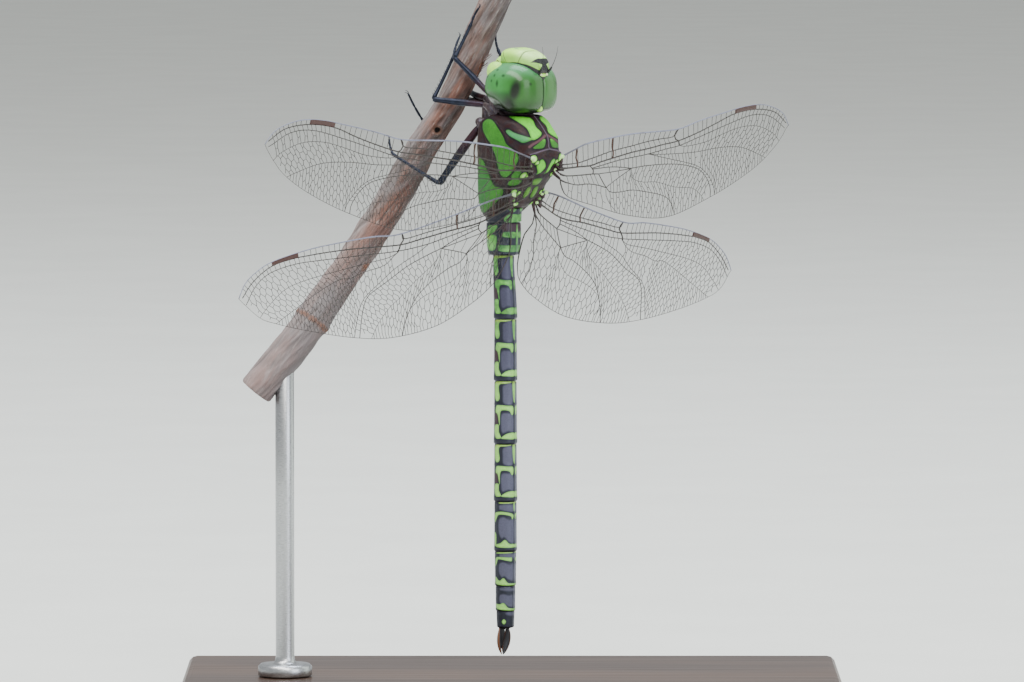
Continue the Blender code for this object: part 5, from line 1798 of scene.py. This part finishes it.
def vein_form(wing, cells, rungs, main_mm, cross_mm, chance):
    """All veins of a wing: the long ones as tapering bars, the finest as straight walls of the cells."""
    reach = wing.veins["front"][-1, 0]
    forms = []
    for name, line in wing.veins.items():
        path = resampled(line, max(6, round(np.ptp(line[:, 0]) / 0.7)))
        root, tip = VEIN_WEIGHTS[name]
        radii = main_mm / 2 * (root + (tip - root) * np.clip(path[:, 0] / reach, 0, 1))
        radii = radii * (1 + 0.8 * bell(path[:, 0], -1.0, 1.2))
        tone = 0.4 + 0.6 * step_up(path[:, 0], 1.0, 9.0) if name == "front" else 0.0
        forms.append(tube_form(wing.placed(path), radii, 6, tuple(wing.upwards), bloom=tone, rung=0.0))
    for at in rungs:
        tops = [wing.stretch(((name, at, at + 1.0),), 2)[0] for name in ("front", "sc", "r")]
        path = resampled(np.array(tops), 7)
        radius = main_mm * 0.85
        forms.append(tube_form(wing.placed(path), radius, 6, tuple(wing.upwards), bloom=0.0, rung=1.0))
    starts, ends = cell_walls(wing, cells, chance)
    forms.append(bars_form(wing.placed(starts), wing.placed(ends), cross_mm / 2, bloom=0.0, rung=0.0))
    return joined(forms)


def sheet_form(wing, start, end, front, rear, half_mm, rows, columns):
    """A thin closed sheet between two veins: its upper face, then back along its lower face."""
    stations = [wing.stretch(((name, start, end),), rows) for name in (front, rear)]
    share = np.linspace(0.0, 1.0, columns)[None, :, None]
    flat = stations[0][:, None] * (1 - share) + stations[1][:, None] * share
    upper, lower = wing.placed(flat, half_mm), wing.placed(flat, -half_mm)
    ring = np.concatenate((upper, lower[:, ::-1]), axis=1)
    return grid_form(ring, wrap=True, start_cap=True, end_cap=True, flip=wing.side < 0)


def hinge_forms(wing, width, foot):
    """The leathery root of a wing: a folded skin from the thorax to the roots of the veins, and its plates.

    The skin runs from a line on the thorax to a line across the wing's root, arched between them, with folds
    that follow a wave across it; each plate is a small flattened egg on one of the folds.
    """
    rows = np.linspace(0.0, 1.0, SKIN_ROWS)
    root = wing.placed(np.stack((np.full(SKIN_ROWS, -0.2), 0.25 - width * rows), axis=-1))
    start, end = [np.array((wing.side * point[0], point[1], point[2])) for point in foot]
    body = start + (end - start) * rows[:, None]
    share = np.linspace(0.0, 1.0, SKIN_COLUMNS)[None, :, None]
    skin = body[:, None] * (1 - share) + root[:, None] * share
    fold = 0.1 * np.sin(rows * 2 * np.pi * 4.5)[:, None, None] * np.sin(np.pi * share)
    lift = (0.18 * np.sin(np.pi * share) + fold) * wing.upwards
    upper, lower = skin + lift + 0.06 * wing.upwards, skin + lift - 0.06 * wing.upwards
    ring = np.concatenate((upper, lower[:, ::-1]), axis=1)
    forms = [grid_form(ring, True, True, True, flip=wing.side > 0, tone=0.0)]
    for line in wing.veins.values():
        if line[0, 0] < -0.4:
            low = start + (end - start) * (0.1 - line[0, 1]) / 3.1
            bar = resampled(np.stack((low, *wing.placed(line[:2]))), 8)
            forms.append(tube_form(bar, np.linspace(0.15, 0.09, 8), 8, tone=0.0))
    for row, column, size, tone in HINGE_PLATES:
        forms.append(ball_form(upper[row, column], (size, size * 0.8, 0.2), 2.2, 12, 18, tone=tone))
    return forms


class DARNER_OT_wings(bpy.types.Operator):
    """Builds the four wings: clear membranes, the net of veins and the dark cell near each tip"""
    bl_idname = "darner.wings"
    bl_label = "Wings"

    def execute(self, context):
        settings = context.scene.darner_wings
        # Clear dry film, a few thousandths of a millimetre thick: barely a tint, and a faint sheen.
        membrane = make_material(
            "wing_membrane", settings.membrane, Alpha=settings.clearness, Roughness=0.22,
            Specular_IOR_Level=0.5,
        )
        # Hardened tubes: dark brown, the thick rungs redder, and a grey-lavender bloom on the leading edge.
        veins = make_material("wing_veins", [
            settings.vein,
            ("rung", 0.0, 1.0, 1.0, 0x42291F),
            ("bloom", 0.0, 1.0, 0.95, [settings.costa, (1.2, 0.5, 0.3, 0.5, 0x4A4650)]),
        ], Roughness=0.42, Specular_IOR_Level=0.4)
        # A thickened, blood-filled cell: red-brown leather, a little uneven.
        stigma = make_material(
            "wing_spot", [settings.stigma, (0.8, 0.3, 0.7, 1.0, 0x3C1E1A)], Roughness=0.4,
            Specular_IOR_Level=0.45,
        )
        # Leathery skin, dark and folded, with small hard plates in pale green.
        root = make_material("wing_root_skin", [
            0x1E1518,
            (0.5, 0.3, 0.7, 1.0, 0x382026),
            ("tone", 0.2, 0.6, 1.0, 0x5E8A48),
            ("tone", 0.6, 1.0, 1.0, 0xAEDC8C),
        ], [((0.2, 3.0, 0.7), 0.04)], Roughness=0.5, Specular_IOR_Level=0.35)
        chance = np.random.default_rng(71)
        hinges = []
        for name, side, angles in WINGS:
            drawing, cells, hinge, pitch, rungs, spot, width, foot = WING_PAIRS[name[:4]]
            wing = Wing(drawing, side, hinge, angles, pitch)
            net = vein_form(wing, cells, rungs, settings.main_vein / MM, settings.cross_vein / MM, chance)
            make_piece(name + "_veins", moved(net, INSECT), [name], "wing", veins)
            reach = wing.veins["front"][-1, 0]
            film = sheet_form(wing, -1.2, reach, "front", "rear", FILM_HALF_MM, 150, 36)
            make_piece(name + "_membrane", moved(film, INSECT), [name], "wing", membrane)
            cell = sheet_form(wing, *spot, "front", "r", SPOT_HALF_MM, 24, 5)
            make_piece(name + "_spot", moved(cell, INSECT), [name], "wing", stigma)
            hinges += hinge_forms(wing, width, foot)
        make_piece("wing_hinges", moved(joined(hinges), INSECT), [wing[0] for wing in WINGS], "thorax", root)
        return {"FINISHED"}


# ---- Panel and start ----

OPERATORS = [thing for name, thing in sorted(globals().items()) if name.startswith("DARNER_OT_")]
SETTINGS = {
    "darner_colours": DarnerColours,
    "darner_wings": DarnerWings,
    "darner_perch": DarnerPerch,
    "darner_stage": DarnerStage,
}


class DARNER_PT_panel(bpy.types.Panel):
    """Lists the pieces and their settings"""
    bl_idname = "DARNER_PT_panel"
    bl_label = "Darner Dragonfly"
    bl_space_type = "VIEW_3D"
    bl_region_type = "UI"
    bl_category = "Darner"

    def draw(self, context):
        for operator in OPERATORS:
            self.layout.operator(operator.bl_idname)
        for name, group in SETTINGS.items():
            box = self.layout.box()
            box.label(text=group.__doc__)
            for setting in group.__annotations__:
                box.prop(getattr(context.scene, name), setting)


def register():
    """Registers the settings, the operators and the panel."""
    for thing in (*SETTINGS.values(), *OPERATORS, DARNER_PT_panel):
        bpy.utils.register_class(thing)
    for name, group in SETTINGS.items():
        setattr(bpy.types.Scene, name, PointerProperty(type=group))


def unregister():
    """Takes them away again."""
    for name in SETTINGS:
        delattr(bpy.types.Scene, name)
    for thing in (DARNER_PT_panel, *OPERATORS[::-1], *list(SETTINGS.values())[::-1]):
        bpy.utils.unregister_class(thing)


def main():
    """Builds every piece in turn and notes the two boxes."""
    register()
    for operator in OPERATORS:
        module, name = operator.bl_idname.split(".")
        getattr(getattr(bpy.ops, module), name)()
    dressed = [list(corner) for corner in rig.bounds()]
    with open("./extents.json", "w", encoding="utf-8") as note:
        json.dump({"cad": CAD_BOX, "dressed": dressed}, note, indent=1)


if __name__ == "__main__":
    main()
